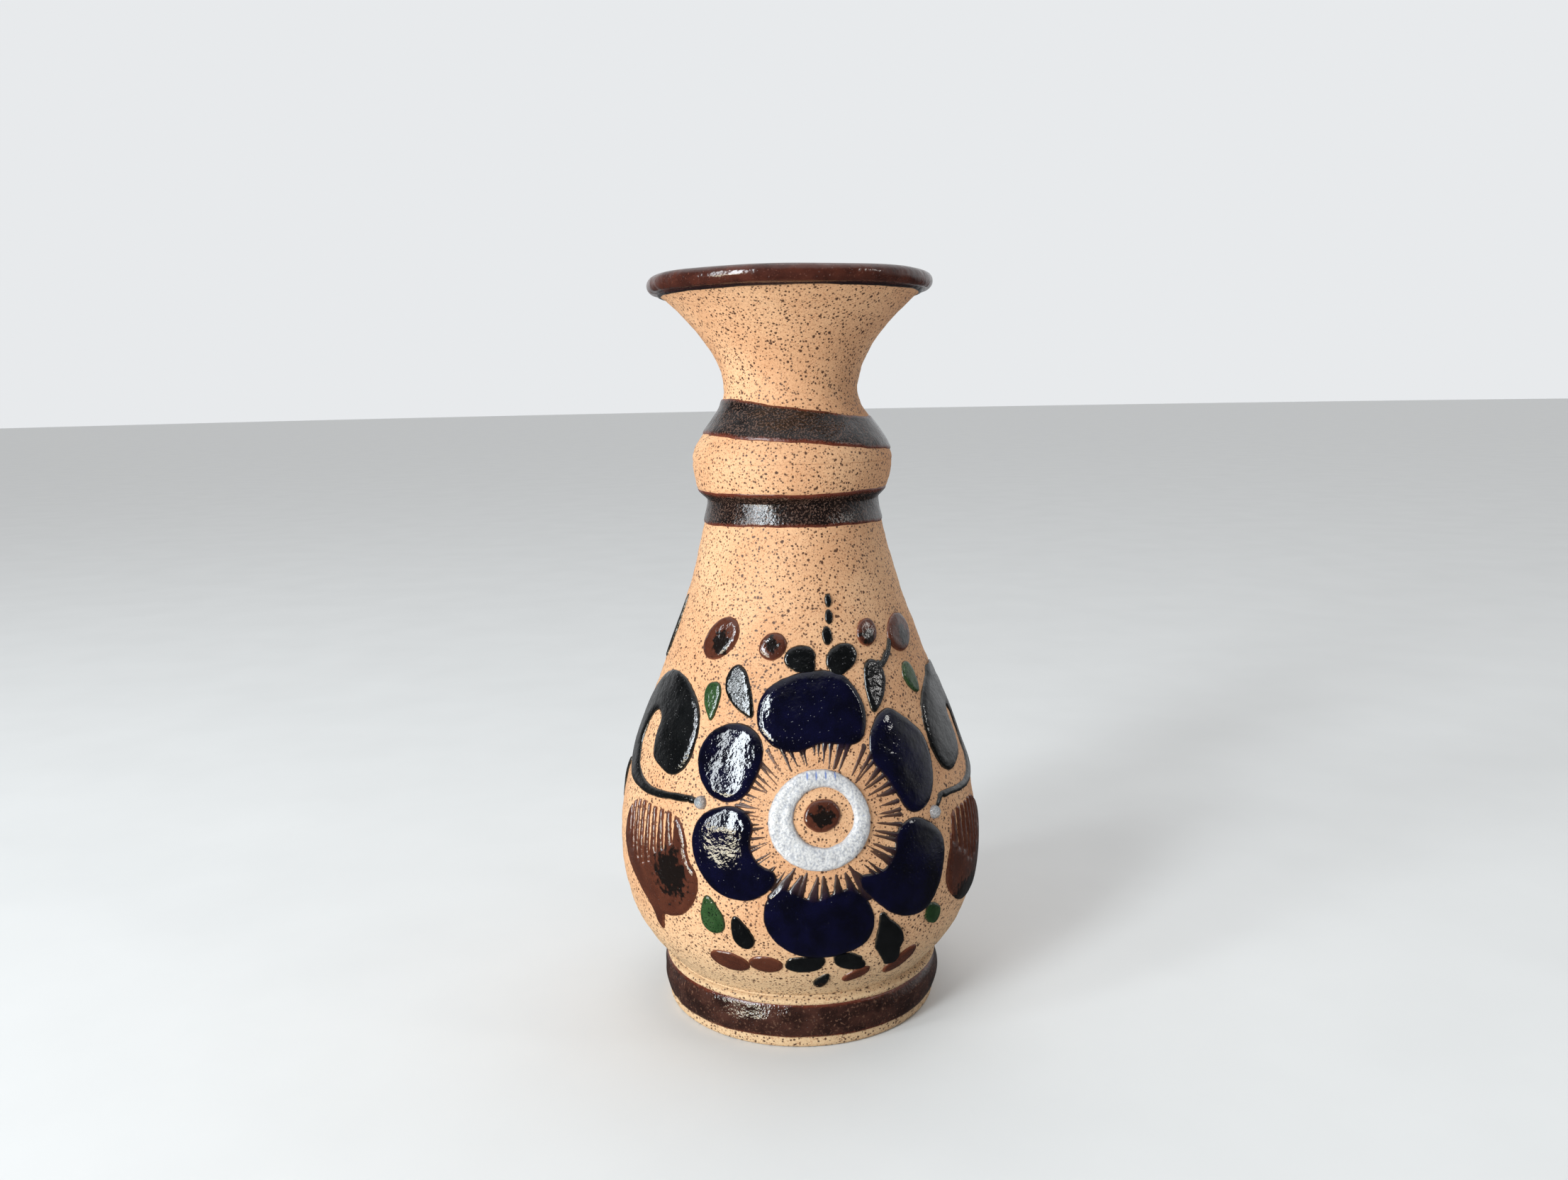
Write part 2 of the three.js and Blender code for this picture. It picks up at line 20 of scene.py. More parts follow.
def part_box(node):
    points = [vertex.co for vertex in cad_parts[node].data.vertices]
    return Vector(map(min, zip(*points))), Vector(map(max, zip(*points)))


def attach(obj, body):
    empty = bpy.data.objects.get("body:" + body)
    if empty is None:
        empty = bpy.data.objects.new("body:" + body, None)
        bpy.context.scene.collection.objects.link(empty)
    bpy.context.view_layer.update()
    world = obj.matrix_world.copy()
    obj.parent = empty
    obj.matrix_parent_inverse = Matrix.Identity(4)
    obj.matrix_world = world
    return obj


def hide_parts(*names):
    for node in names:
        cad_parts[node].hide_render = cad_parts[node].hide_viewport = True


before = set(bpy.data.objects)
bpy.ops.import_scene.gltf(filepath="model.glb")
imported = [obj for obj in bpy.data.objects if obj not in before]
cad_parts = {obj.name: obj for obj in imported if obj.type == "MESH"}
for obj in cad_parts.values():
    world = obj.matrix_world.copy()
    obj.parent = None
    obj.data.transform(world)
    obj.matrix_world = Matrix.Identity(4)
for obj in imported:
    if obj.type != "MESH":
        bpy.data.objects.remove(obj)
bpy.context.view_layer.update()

LOG = logging.getLogger("vase")
MM = 0.001
FULL_TURN = 2 * math.pi
CRISP = math.radians(50)  # an edge more bent than this isn't smoothed
CRUMB = np.array([[0, 0], [0.01, 0], [0, 0.01]])  # a start for an outline that is all added strokes
Array = np.ndarray
Field = Callable[[Array], Array]
Material = bpy.types.Material
Socket = bpy.types.NodeSocket


class Slot(Enum):
    """The record's material slots."""

    CLAY = "clay"
    BAND = "band_glaze"
    RIM = "rim_glaze"
    LINING = "lining_glaze"
    COBALT = "cobalt_enamel"
    BLACK = "black_enamel"
    BROWN = "brown_enamel"
    GREEN = "green_enamel"
    WHITE = "white_enamel"


class Facing(Enum):
    """The turn of the line that a painted spray is drawn round."""

    FRONT = 0.0
    BACK = math.pi


# ---- Meshes ----


def new_piece(name: str, points: Array, faces: list, finish: Material,
              stands_for: Iterable[str], marks: dict[str, Array] | None = None) -> None:
    """Makes a piece from points and faces, dresses it and ties it to the frame.

    Args:
        name: The piece's name.
        points: Its points.
        faces: Its faces, as lists of point numbers.
        finish: The material it wears.
        stands_for: The frame's nodes that it stands for, none for a small extra.
        marks: Numbers kept on each point for the finish to read, by name.
    """
    mesh = bpy.data.meshes.new(name)
    mesh.from_pydata((points * MM).tolist(), [], faces)
    for mark, values in (marks or {}).items():
        kept = mesh.attributes.new(mark, "FLOAT", "POINT")
        kept.data.foreach_set("value", values.astype(np.float32))
    mesh.validate()
    mesh.shade_smooth()
    mesh.set_sharp_from_angle(angle=CRISP)
    mesh.materials.append(finish)
    piece = bpy.data.objects.new(name, mesh)
    bpy.context.scene.collection.objects.link(piece)
    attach(piece, "root")
    if stands_for:
        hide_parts(*stands_for)
    LOG.info("%s: %d faces, %s, for %s", name, len(faces), finish.name,
             ", ".join(stands_for) or "no node")


def box_of(node: str) -> tuple[Array, Array]:
    """A frame node's lowest and highest corners."""
    low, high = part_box(node)
    return np.array(low) / MM, np.array(high) / MM


def corners_of(node: str) -> tuple[Array, list[tuple[int, ...]]]:
    """Reads a frame node's welded corners and its faces.

    Args:
        node: The node's name.

    Returns:
        The corners and the faces as tuples of corner numbers.
    """
    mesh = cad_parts[node].data
    raw = np.empty(len(mesh.vertices) * 3)
    mesh.vertices.foreach_get("co", raw)
    corners, index = np.unique(np.round(raw.reshape(-1, 3) / MM, 3), axis=0, return_inverse=True)
    index = index.ravel()
    faces = [tuple(int(index[v]) for v in face.vertices) for face in mesh.polygons]
    return corners, [face for face in faces if len(set(face)) > 2]


def round_axis(radius: Array, turn: Array, height: Array) -> Array:
    """Rows of x, y, z."""
    return np.column_stack([radius * np.sin(turn), -radius * np.cos(turn), height])


def rings(count: int, sides: int) -> tuple[Array, Array]:
    """The ring number and the turn of each point of a turned skin."""
    ring, side = np.meshgrid(np.arange(count), np.arange(sides), indexing="ij")
    return ring.ravel(), side.ravel() * FULL_TURN / sides


def close_rings(points: Array, sides: int, capped: bool) -> tuple[Array, list]:
    """Covers rings of points with faces.

    Args:
        points: The points, ring by ring, up the outside and down the inside.
        sides: Points in a ring.
        capped: Whether the two ends meet the axis; otherwise the last ring joins the first.

    Returns:
        The points, with the ends' middles where they are capped, and the faces.
    """
    count = len(points) // sides
    here = np.arange(sides)
    after = (here + 1) % sides
    faces = []
    for i in range(count - capped):
        low, high = i * sides, (i + 1) % count * sides
        faces += np.column_stack([low + here, low + after, high + after, high + here]).tolist()
    if capped:
        for first, order in ((0, [0, 2, 1]), ((count - 1) * sides, [0, 1, 2])):
            fan = np.column_stack([np.full(sides, len(points)), first + here, first + after])
            faces += fan[:, order].tolist()
            points = np.vstack([points, [0, 0, points[first:first + sides, 2].mean()]])
    return points, faces


def cubic(heights: Array, stations: Array) -> Array:
    """Radius at each height, by the cubic through the two stations round it.

    Args:
        heights: Heights, in any order.
        stations: Rows of height and radius, rising.

    Returns:
        The radii.
    """
    z, r = stations.T
    step = np.diff(r) / np.diff(z)
    product = step[:-1] * step[1:]
    total = np.where(step[:-1] + step[1:] == 0, 1, step[:-1] + step[1:])
    slope = np.concatenate([step[:1], np.where(product > 0, 2 * product / total, 0), step[-1:]])
    i = np.clip(np.searchsorted(z, heights) - 1, 0, len(z) - 2)
    span = z[i + 1] - z[i]
    t = (heights - z[i]) / span
    start = (1 + 2 * t) * (1 - t) ** 2
    return (start * r[i] + (1 - start) * r[i + 1]
            + span * (t * (1 - t) ** 2 * slope[i] + t * t * (t - 1) * slope[i + 1]))


def curve(heights: Array, stations: Array) -> Array:
    """Rows of radius and height along a face."""
    return np.column_stack([cubic(heights, stations), heights])


@dataclass
class Wall:
    """The clay's outer and inner face, as smooth curves through the frame's turned corners."""

    bead: float = 0.8  # radius of the clay bead round the lip
    wobble: float = 0.07  # how far the pot is from round
    ridges: float = 0.014  # height of the throwing lines
    # spacing, share, phase
    throwing: tuple = ((0.83, 0.6, 0.3), (1.37, 0.8, 1.9), (2.9, 1.6, 4.1), (7.3, 3.0, 2.2))
    seam: float = 0.05  # depth of the line where the neck is luted on
    seam_width: float = 0.45
    # from the foot's top up to the wall's lowest station, and down to the floor's
    crease: float = 0.38
    outside: Array = field(init=False)
    inside: Array = field(init=False)
    ridge_height: float = field(init=False)
    lip_height: float = field(init=False)
    lip_radius: float = field(init=False)

    def __post_init__(self) -> None:
        """Reads the stations off the body and the neck."""
        turned = [corners_of(node) for node in ("vessel_body", "neck")]
        body, neck = box_of("vessel_body")[1], box_of("neck")[1]
        self.ridge_height = (body[2] + self._joint_above()) / 2
        self.lip_height = neck[2] - self.bead
        self.lip_radius = neck[0] - self.bead
        foot_top = box_of("foot_ring")[1][2]
        top = self.lip_height - self.bead * 1.4
        self.outside = self._seen(turned, 2 * body[0], foot_top + self.crease, top)
        self.inside = self._seen(turned, 0.0, foot_top - self.crease, top)

    @staticmethod
    def _joint_above() -> float:
        """Height of the neck's widest corners by the joint."""
        corners, _ = corners_of("neck")
        reach = np.hypot(corners[:, 0], corners[:, 1])
        low = corners[:, 2] < corners[:, 2].min() + 4
        return float(corners[low & (reach > reach[low].max() - 0.05), 2].min())

    @staticmethod
    def _seen(turned: list, start: float, bottom: float, top: float) -> Array:
        """Stations that a level ray meets first.

        Args:
            turned: Corners and faces of the turned pieces.
            start: Radius the ray starts from: 0 looks outwards from the axis.
            bottom: Height below which no station is kept.
            top: Height above which none is.

        Returns:
            Rows of height and radius, rising.
        """
        found = {}
        trees = [BVHTree.FromPolygons(corners.tolist(), faces) for corners, faces in turned]
        for corners, _ in turned:
            pairs = np.column_stack([corners[:, 2], np.hypot(corners[:, 0], corners[:, 1])])
            for height, radius in np.unique(np.round(pairs, 2), axis=0):
                origin = Vector((0.003, -start, height))
                along = Vector((0, 1 if start else -1, 0))
                hits = [tree.ray_cast(origin, along)[0] for tree in trees]
                met = [abs(hit.y) for hit in hits if hit is not None]
                first = (max(met) if start else min(met)) if met else -1
                if abs(first - radius) < 0.06 and bottom <= height <= top:
                    found[round(float(height), 1)] = (float(height), float(radius))
        return np.array(sorted(found.values()))

    def oval(self, turn: Array, height: Array) -> Array:
        """How far the pot is from round, as distances outwards."""
        return self.wobble * (np.sin(2 * turn + 0.05 * height)
                              + 0.5 * np.sin(3 * turn - 0.09 * height + 1))

    def relief(self, turn: Array, height: Array) -> Array:
        """How far the clay stands out from a true turned face."""
        drift = turn + 0.8 * np.sin(turn * 2 + height / 5)
        lines = sum(share * np.sin(FULL_TURN * height / spacing + phase + drift)
                    for spacing, share, phase in self.throwing)
        off_seam = height - self.ridge_height + 0.15 * np.sin(turn + 1)
        seam = np.exp(-((off_seam / self.seam_width) ** 2))
        return self.oval(turn, height) + self.ridges * lines - self.seam * seam

    def skin(self, turn: Array, height: Array, distance: Array) -> Array:
        """Points off the outer face, taken without its throwing lines, which a coat fills.

        Args:
            turn: Turns.
            height: Heights at the face.
            distance: Distances off it, along its normal.

        Returns:
            Rows of x, y, z.
        """
        slope = (cubic(height + 0.05, self.outside) - cubic(height - 0.05, self.outside)) / 0.1
        length = np.hypot(1, slope)
        out = cubic(height, self.outside) + self.oval(turn, height) + distance / length
        return round_axis(out, turn, height - distance * slope / length)

    def lip(self, first: float, last: float, count: int) -> Array:
        """Rows of radius and height round the lip's bead, between two angles up from level."""
        angle = np.radians(np.linspace(first, last, count))
        return np.column_stack([self.lip_radius + self.bead * np.cos(angle),
                                self.lip_height + self.bead * np.sin(angle)])


# ---- Node trees ----


class Tree:
    """A node tree while it is being filled."""

    def __init__(self, tree: bpy.types.NodeTree) -> None:
        """Starts on an empty tree."""
        self.tree = tree
        tree.nodes.clear()

    def fill(self, node: bpy.types.Node, inputs: dict) -> bpy.types.Node:
        """Gives a node's inputs, by name or number, their values or sockets."""
        for key, value in inputs.items():
            if isinstance(value, Socket):
                self.tree.links.new(value, node.inputs[key])
            else:
                node.inputs[key].default_value = value
        return node

    def add(self, kind: str, inputs: dict | None = None, **settings: object) -> bpy.types.Node:
        """Adds a node.

        Args:
            kind: The node's type, without the ShaderNode in front.
            inputs: Values or sockets for its inputs, by name or number.
            settings: Its other settings.

        Returns:
            The node.
        """
        node = self.tree.nodes.new("ShaderNode" + kind)
        for key, value in settings.items():
            setattr(node, key, value)
        return self.fill(node, inputs or {})

    def math(self, operation: str, *values: object) -> Socket:
        """Adds a math node and gives its value."""
        return self.add("Math", dict(enumerate(values)), operation=operation).outputs[0]

    def ramp(self, value: object, low: object, high: object) -> Socket:
        """A smooth step of a value, from 0 at low to 1 at high."""
        inputs = {"Value": value, "From Min": low, "From Max": high}
        return self.add("MapRange", inputs, interpolation_type="SMOOTHSTEP").outputs[0]

    def mix(self, share: object, first: object, second: object) -> Socket:
        """A colour between two, by a share of the second."""
        return self.add("Mix", {0: share, 6: first, 7: second}, data_type="RGBA").outputs[2]

    def noise(self, where: Socket, per_mm: object, detail: float = 3) -> Socket:
        """Soft noise about 0.5, with so many waves to the millimetre."""
        return self.add("TexNoise",
                        {"Vector": where, "Scale": per_mm, "Detail": detail}).outputs["Fac"]

    def mark(self, name: str) -> Socket:
        """A number kept on the mesh's points."""
        return self.add("Attribute", attribute_name=name).outputs["Fac"]

    def group(self, tree: bpy.types.NodeTree, **inputs: object) -> bpy.types.NodeInputs:
        """Places a node group and gives its outputs."""
        node = self.tree.nodes.new("ShaderNodeGroup")
        node.node_tree = tree
        return self.fill(node, inputs).outputs


class Group(Tree):
    """A shared group while it is being filled: a Place and numbers go in, numbers come out."""

    def __init__(self, name: str, **inputs: float) -> None:
        """Starts the group, with its numbers' usual values."""
        super().__init__(bpy.data.node_groups.new(name, "ShaderNodeTree"))
        self._socket("Place", "INPUT", "Vector")
        for label, value in inputs.items():
            self._socket(label, "INPUT", "Float").default_value = value
        self.given = self.tree.nodes.new("NodeGroupInput").outputs

    def _socket(self, label: str, way: str, kind: str) -> bpy.types.NodeTreeInterfaceSocket:
        """Adds a socket to the group's outside."""
        return self.tree.interface.new_socket(label, in_out=way, socket_type="NodeSocket" + kind)

    def finish(self, **outputs: Socket) -> bpy.types.NodeTree:
        """Gives the group its outputs, and gives its tree."""
        for label in outputs:
            self._socket(label, "OUTPUT", "Float")
        self.fill(self.tree.nodes.new("NodeGroupOutput"), outputs)
        return self.tree


def colour(red: int, green: int, blue: int) -> tuple[float, float, float, float]:
    """A screen colour as linear light."""
    parts = [v / 255 for v in (red, green, blue)]
    linear = [v / 12.92 if v <= 0.04045 else ((v + 0.055) / 1.055) ** 2.4 for v in parts]
    return (*linear, 1.0)


class Effects:
    """Shader node groups shared by the finishes."""

    def __init__(self) -> None:
        """Builds every group once."""
        self.specks = self._specks()
        self.broken_edge = self._broken_edge()
        self.mottle = self._mottle()
        self.skin = self._skin()
        self.lines = self._lines()

    @staticmethod
    def _specks() -> bpy.types.NodeTree:
        """Iron grains: round spots of many sizes, a few to a cell of clay."""
        t = Group("iron_specks", Cell=1.0, Share=0.5, Size=0.3)
        place = t.given["Place"]
        per_mm = t.math("DIVIDE", 1.0, t.given["Cell"])
        bend = t.add("TexNoise", {"Vector": place, "Scale": t.math("MULTIPLY", per_mm, 3.0)})
        shift = t.add("VectorMath", {0: bend.outputs["Color"], 1: (0.25,) * 3},
                      operation="MULTIPLY")
        bent = t.add("VectorMath", {0: place, 1: shift.outputs[0]}, operation="ADD")
        cells = t.add("TexVoronoi", {"Vector": bent.outputs[0], "Scale": per_mm})
        lot = t.add("SeparateColor", {0: cells.outputs["Color"]})
        holds = t.math("LESS_THAN", lot.outputs[0], t.given["Share"])
        reach = t.math("MULTIPLY", t.given["Size"], t.math("ADD", 0.3, lot.outputs[1]))
        inside = t.ramp(cells.outputs["Distance"], reach, t.math("MULTIPLY", reach, 0.55))
        return t.finish(Mask=t.math("MULTIPLY", holds, inside))

    @staticmethod
    def _broken_edge() -> bpy.types.NodeTree:
        """Where a coat runs thin along its edge."""
        t = Group("broken_edge", Film=0.0, Width=0.5, Ragged=0.5, Waves=1.5)
        ragged = t.math("SUBTRACT", t.noise(t.given["Place"], t.given["Waves"], 5), 0.5)
        film = t.math("MULTIPLY_ADD", ragged, t.given["Ragged"], t.given["Film"])
        return t.finish(Mask=t.ramp(film, t.given["Width"], 0.0))

    @staticmethod
    def _mottle() -> bpy.types.NodeTree:
        """Clouded patches and the fine grains in them."""
        t = Group("mottle", Cloud=0.2, Grain=4.0, Low=0.4, High=0.6)
        place = t.given["Place"]
        cloud = t.ramp(t.noise(place, t.given["Cloud"], 4), 0.3, 0.7)
        grain = t.ramp(t.noise(place, t.given["Grain"], 2), t.given["Low"], t.given["High"])
        return t.finish(Cloud=cloud, Grain=grain)

    @staticmethod
    def _skin() -> bpy.types.NodeTree:
        """The dimpled skin of a fired gloss, with pinholes."""
        t = Group("glaze_skin", Dimple=1.2, Ripple=0.25, Pinholes=0.3)
        place = t.given["Place"]
        dimple = t.noise(place, t.given["Dimple"], 2)
        ripple = t.math("MULTIPLY", t.noise(place, t.given["Ripple"], 1), 3.0)
        cells = t.add("TexVoronoi", {"Vector": place, "Scale": 1.6})
        pit = t.math("MULTIPLY", t.ramp(cells.outputs["Distance"], 0.16, 0.05), t.given["Pinholes"])
        return t.finish(Height=t.math("SUBTRACT", t.math("ADD", dimple, ripple), pit))

    @staticmethod
    def _lines() -> bpy.types.NodeTree:
        """Fine level lines left by the wheel."""
        t = Group("throwing_lines", Waves=3.0)
        drawn = t.add("VectorMath", {0: t.given["Place"], 1: (0.05, 0.05, 1.0)},
                      operation="MULTIPLY")
        return t.finish(Height=t.noise(drawn.outputs[0], t.given["Waves"], 4))


@dataclass(frozen=True)
class Finish:
    """What every finish has: its name and the groups it is made with."""

    name: str
    effects: Effects

    def start(self) -> tuple[Material, Tree, Socket]:
        """Starts the material.

        Returns:
            The material, its tree and the place in millimetres.
        """
        material = bpy.data.materials.new(self.name)
        material.use_nodes = True
        tree = Tree(material.node_tree)
        where = tree.add("TexCoord").outputs["Object"]
        place = tree.add("VectorMath", {0: where, 1: (1 / MM,) * 3}, operation="MULTIPLY")
        return material, tree, place.outputs[0]

    @staticmethod
    def end(tree: Tree, inputs: dict) -> None:
        """Closes the tree with the shader that has these inputs."""
        shader = tree.add("BsdfPrincipled", inputs)
        tree.add("OutputMaterial", {"Surface": shader.outputs[0]})


@dataclass(frozen=True)
class Clay(Finish):
    """Tan stoneware, matt and full of iron grains."""

    tan: tuple = colour(204, 154, 113)
    pale: tuple = colour(220, 175, 134)
    low: tuple = colour(206, 176, 138)
    iron: tuple = colour(66, 34, 18)
    halo: tuple = colour(150, 92, 52)
    low_from: float = 22.0  # below this height the clay pales
    low_to: float = 8.0  # and here it is palest

    def build(self) -> Material:
        """Makes the material."""
        material, t, place = self.start()
        effects = self.effects
        mottle = t.group(effects.mottle, Place=place, Cloud=0.09, Grain=5.0, Low=0.35, High=0.7)
        height = t.add("SeparateXYZ", {0: place}).outputs[2]
        base = t.mix(mottle["Cloud"], self.tan, self.pale)
        base = t.mix(t.ramp(height, self.low_from, self.low_to), base, self.low)
        base = t.mix(t.math("MULTIPLY", mottle["Grain"], 0.28), base, self.halo)
        fine = t.group(effects.specks, Place=place, Cell=0.4, Share=0.95, Size=0.42)[0]
        coarse = t.group(effects.specks, Place=place, Cell=0.95, Share=0.75, Size=0.25)[0]
        dust = t.group(effects.specks, Place=place, Cell=0.28, Share=0.8, Size=0.4)[0]
        spots = t.math("MAXIMUM", fine, coarse)
        base = t.mix(t.math("MULTIPLY", dust, 0.7), base, self.halo)
        base = t.mix(t.math("MULTIPLY", spots, 0.94), base, self.iron)
        lines = t.group(effects.lines, Place=place, Waves=2.4)[0]
        grain = t.noise(place, 3.2, 5)
        raised = t.math("ADD", t.math("MULTIPLY", lines, 0.8), grain)
        raised = t.math("SUBTRACT", raised, t.math("MULTIPLY", spots, 0.6))
        bump = t.add("Bump", {"Strength": 0.55, "Distance": 0.00006, "Height": raised})
        rough = t.add("MapRange", {"Value": grain, "To Min": 0.62, "To Max": 0.9}).outputs[0]
        rough = t.math("SUBTRACT", rough, t.math("MULTIPLY", spots, 0.25))
        self.end(t, {"Base Color": base, "Roughness": rough, "Normal": bump.outputs[0],
                     "Specular IOR Level": 0.42})
        return material


@dataclass(frozen=True)
class Glaze(Finish):
    """A gloss coat, dark where it lies thick and broken to another colour at its edge."""

    thick: tuple = colour(14, 8, 7)
    cloud: tuple = colour(27, 16, 13)
    grain: tuple = colour(80, 60, 51)
    grain_per_mm: float = 4.0
    grain_low: float = 0.52
    grain_high: float = 0.6
    edge: tuple = colour(96, 42, 26)
    edge_width: float = 0.55
    ragged: float = 0.6
    pool: tuple = colour(12, 9, 8)  # where another colour has run in
    dry: tuple = colour(172, 126, 92)  # where a brush has dragged it thin
    rough: float = 0.16
    dimple: float = 2.4
    relief: float = 0.00014  # metres

    def build(self) -> Material:
        """Makes the material."""
        material, t, place = self.start()
        effects = self.effects
        mottle = t.group(effects.mottle, Place=place, Cloud=0.35, Grain=self.grain_per_mm,
                         Low=self.grain_low, High=self.grain_high)
        base = t.mix(mottle["Cloud"], self.thick, self.cloud)
        base = t.mix(mottle["Grain"], base, self.grain)
        thin = t.group(effects.broken_edge, Place=place, Film=t.mark("film"), Width=self.edge_width,
                       Ragged=self.ragged, Waves=1.8)[0]
        base = t.mix(thin, base, self.edge)
        ragged = t.math("MULTIPLY_ADD", t.noise(place, 1.3, 5), 1.6,
                        t.math("SUBTRACT", t.mark("pool"), 0.8))
        base = t.mix(t.ramp(ragged, 0.3, 0.6), base, self.pool)
        dry = t.math("MULTIPLY", t.mark("dry"), t.math("ADD", t.noise(place, 2.5, 3), 0.4))
        base = t.mix(dry, base, self.dry)
        skin = t.group(effects.skin, Place=place, Dimple=self.dimple, Ripple=0.3, Pinholes=0.8)[0]
        bump = t.add("Bump", {"Strength": 0.6, "Distance": self.relief, "Height": skin})
        rough = t.math("MULTIPLY_ADD", mottle["Grain"], 0.1, self.rough)
        rough = t.math("MULTIPLY_ADD", thin, 0.15, rough)
        rough = t.math("MULTIPLY_ADD", t.mark("brushed"), 0.3, rough)
        self.end(t, {"Base Color": base, "Roughness": rough, "Normal": bump.outputs[0],
                     "IOR": 1.54})
        return material


@dataclass(frozen=True)
class Crystal(Finish):
    """Blue-white enamel with sugary crystals in it."""

    white: tuple = colour(202, 200, 199)
    shade: tuple = colour(160, 161, 167)
    tick: tuple = colour(104, 124, 176)
    transmission: float = 0.0

    def build(self) -> Material:
        """Makes the material."""
        material, t, place = self.start()
        effects = self.effects
        mottle = t.group(effects.mottle, Place=place, Cloud=0.8, Grain=3.2, Low=0.4, High=0.68)
        specks = t.group(effects.specks, Place=place, Cell=1.1, Share=0.12, Size=0.2)[0]
        base = t.mix(mottle["Grain"], self.white, self.shade)
        base = t.mix(t.math("MULTIPLY", specks, 0.6), base, self.tick)
        base = t.mix(t.ramp(t.mark("pool"), 0.3, 0.8), base, self.tick)
        thin = t.group(effects.broken_edge, Place=place, Film=t.mark("film"), Width=0.3, Ragged=0.3,
                       Waves=2.0)[0]
        base = t.mix(t.math("MULTIPLY", thin, 0.5), base, self.shade)
        skin = t.group(effects.skin, Place=place, Dimple=3.4, Ripple=0.8, Pinholes=0.4)[0]
        bump = t.add("Bump", {"Strength": 0.8, "Distance": 0.00012, "Height": skin})
        rough = t.add("MapRange",
                      {"Value": mottle["Grain"], "To Min": 0.12, "To Max": 0.42}).outputs[0]
        self.end(t, {"Base Color": base, "Roughness": rough, "Normal": bump.outputs[0],
                     "Transmission Weight": self.transmission, "IOR": 1.52})
        return material


def finishes(effects: Effects) -> dict[Slot, Material]:
    """Builds the finish of every slot.

    Args:
        effects: The shared node groups.

    Returns:
        The materials by slot.
    """
    made = {
        Slot.CLAY: Clay("speckled_clay", effects),
        Slot.BAND: Glaze("iron_band_glaze", effects),
        Slot.RIM: Glaze(
            "rust_rim_glaze", effects, thick=colour(54, 26, 20), cloud=colour(76, 38, 28),
            grain=colour(96, 58, 46), grain_low=0.58, grain_high=0.78, edge=colour(14, 14, 22),
            edge_width=1.5, dimple=1.1),
        Slot.LINING: Glaze(
            "honey_lining_glaze", effects, thick=colour(150, 104, 60), cloud=colour(172, 126, 78),
            grain=colour(110, 70, 38), edge=colour(190, 146, 98), rough=0.3),
        Slot.COBALT: Glaze(
            "cobalt_enamel", effects, thick=colour(3, 3, 15), cloud=colour(7, 7, 32),
            grain=colour(13, 15, 48), grain_low=0.6, grain_high=0.9, edge=colour(28, 21, 18),
            edge_width=0.28, ragged=0.25, dry=colour(126, 82, 54), rough=0.07, dimple=1.6,
            relief=0.00009),
        Slot.BLACK: Glaze(
            "green_black_enamel", effects, thick=colour(6, 7, 8), cloud=colour(15, 16, 17),
            grain=colour(50, 52, 46), grain_low=0.62, grain_high=0.9, edge=colour(58, 50, 40),
            edge_width=0.22, ragged=0.2, rough=0.12, dimple=1.6),
        Slot.BROWN: Glaze(
            "red_brown_enamel", effects, thick=colour(68, 35, 25), cloud=colour(82, 44, 31),
            grain=colour(52, 28, 22), grain_low=0.6, grain_high=0.8, edge=colour(108, 60, 40),
            edge_width=0.3, ragged=0.3, rough=0.14, dimple=1.6, pool=colour(20, 14, 12)),
        Slot.GREEN: Glaze(
            "copper_green_enamel", effects, thick=colour(24, 50, 23), cloud=colour(50, 76, 43),
            grain=colour(10, 22, 10), grain_low=0.55, grain_high=0.68, edge=colour(58, 60, 38),
            edge_width=0.3, ragged=0.3, rough=0.12, dimple=1.6),
        Slot.WHITE: Crystal("crystal_white_enamel", effects),
    }
    return {slot: finish.build() for slot, finish in made.items()}


# ---- Clay ----


@dataclass
class Turned:
    """A clay piece turned from a profile, with the clay's relief on its outer face."""

    wall: Wall
    sides: int = 300

    def turn(self, name: str, node: str, profile: Array, share: Array, finish: Material,
             capped: bool) -> None:
        """Turns the piece.

        Args:
            name: Its name.
            node: The frame's node that it stands for.
            profile: Rows of radius and height.
            share: How much of the relief each row has.
            finish: The material.
            capped: Whether its two ends meet the axis.
        """
        ring, turn = rings(len(profile), self.sides)
        radius, height = profile[ring].T
        out = radius + share[ring] * self.relief(turn, height)
        points, faces = close_rings(round_axis(out, turn, height), self.sides, capped)
        new_piece(name, points, faces, finish, [node])

    def relief(self, turn: Array, height: Array) -> Array:
        """How far the piece's outer face stands out."""
        return self.wall.relief(turn, height)


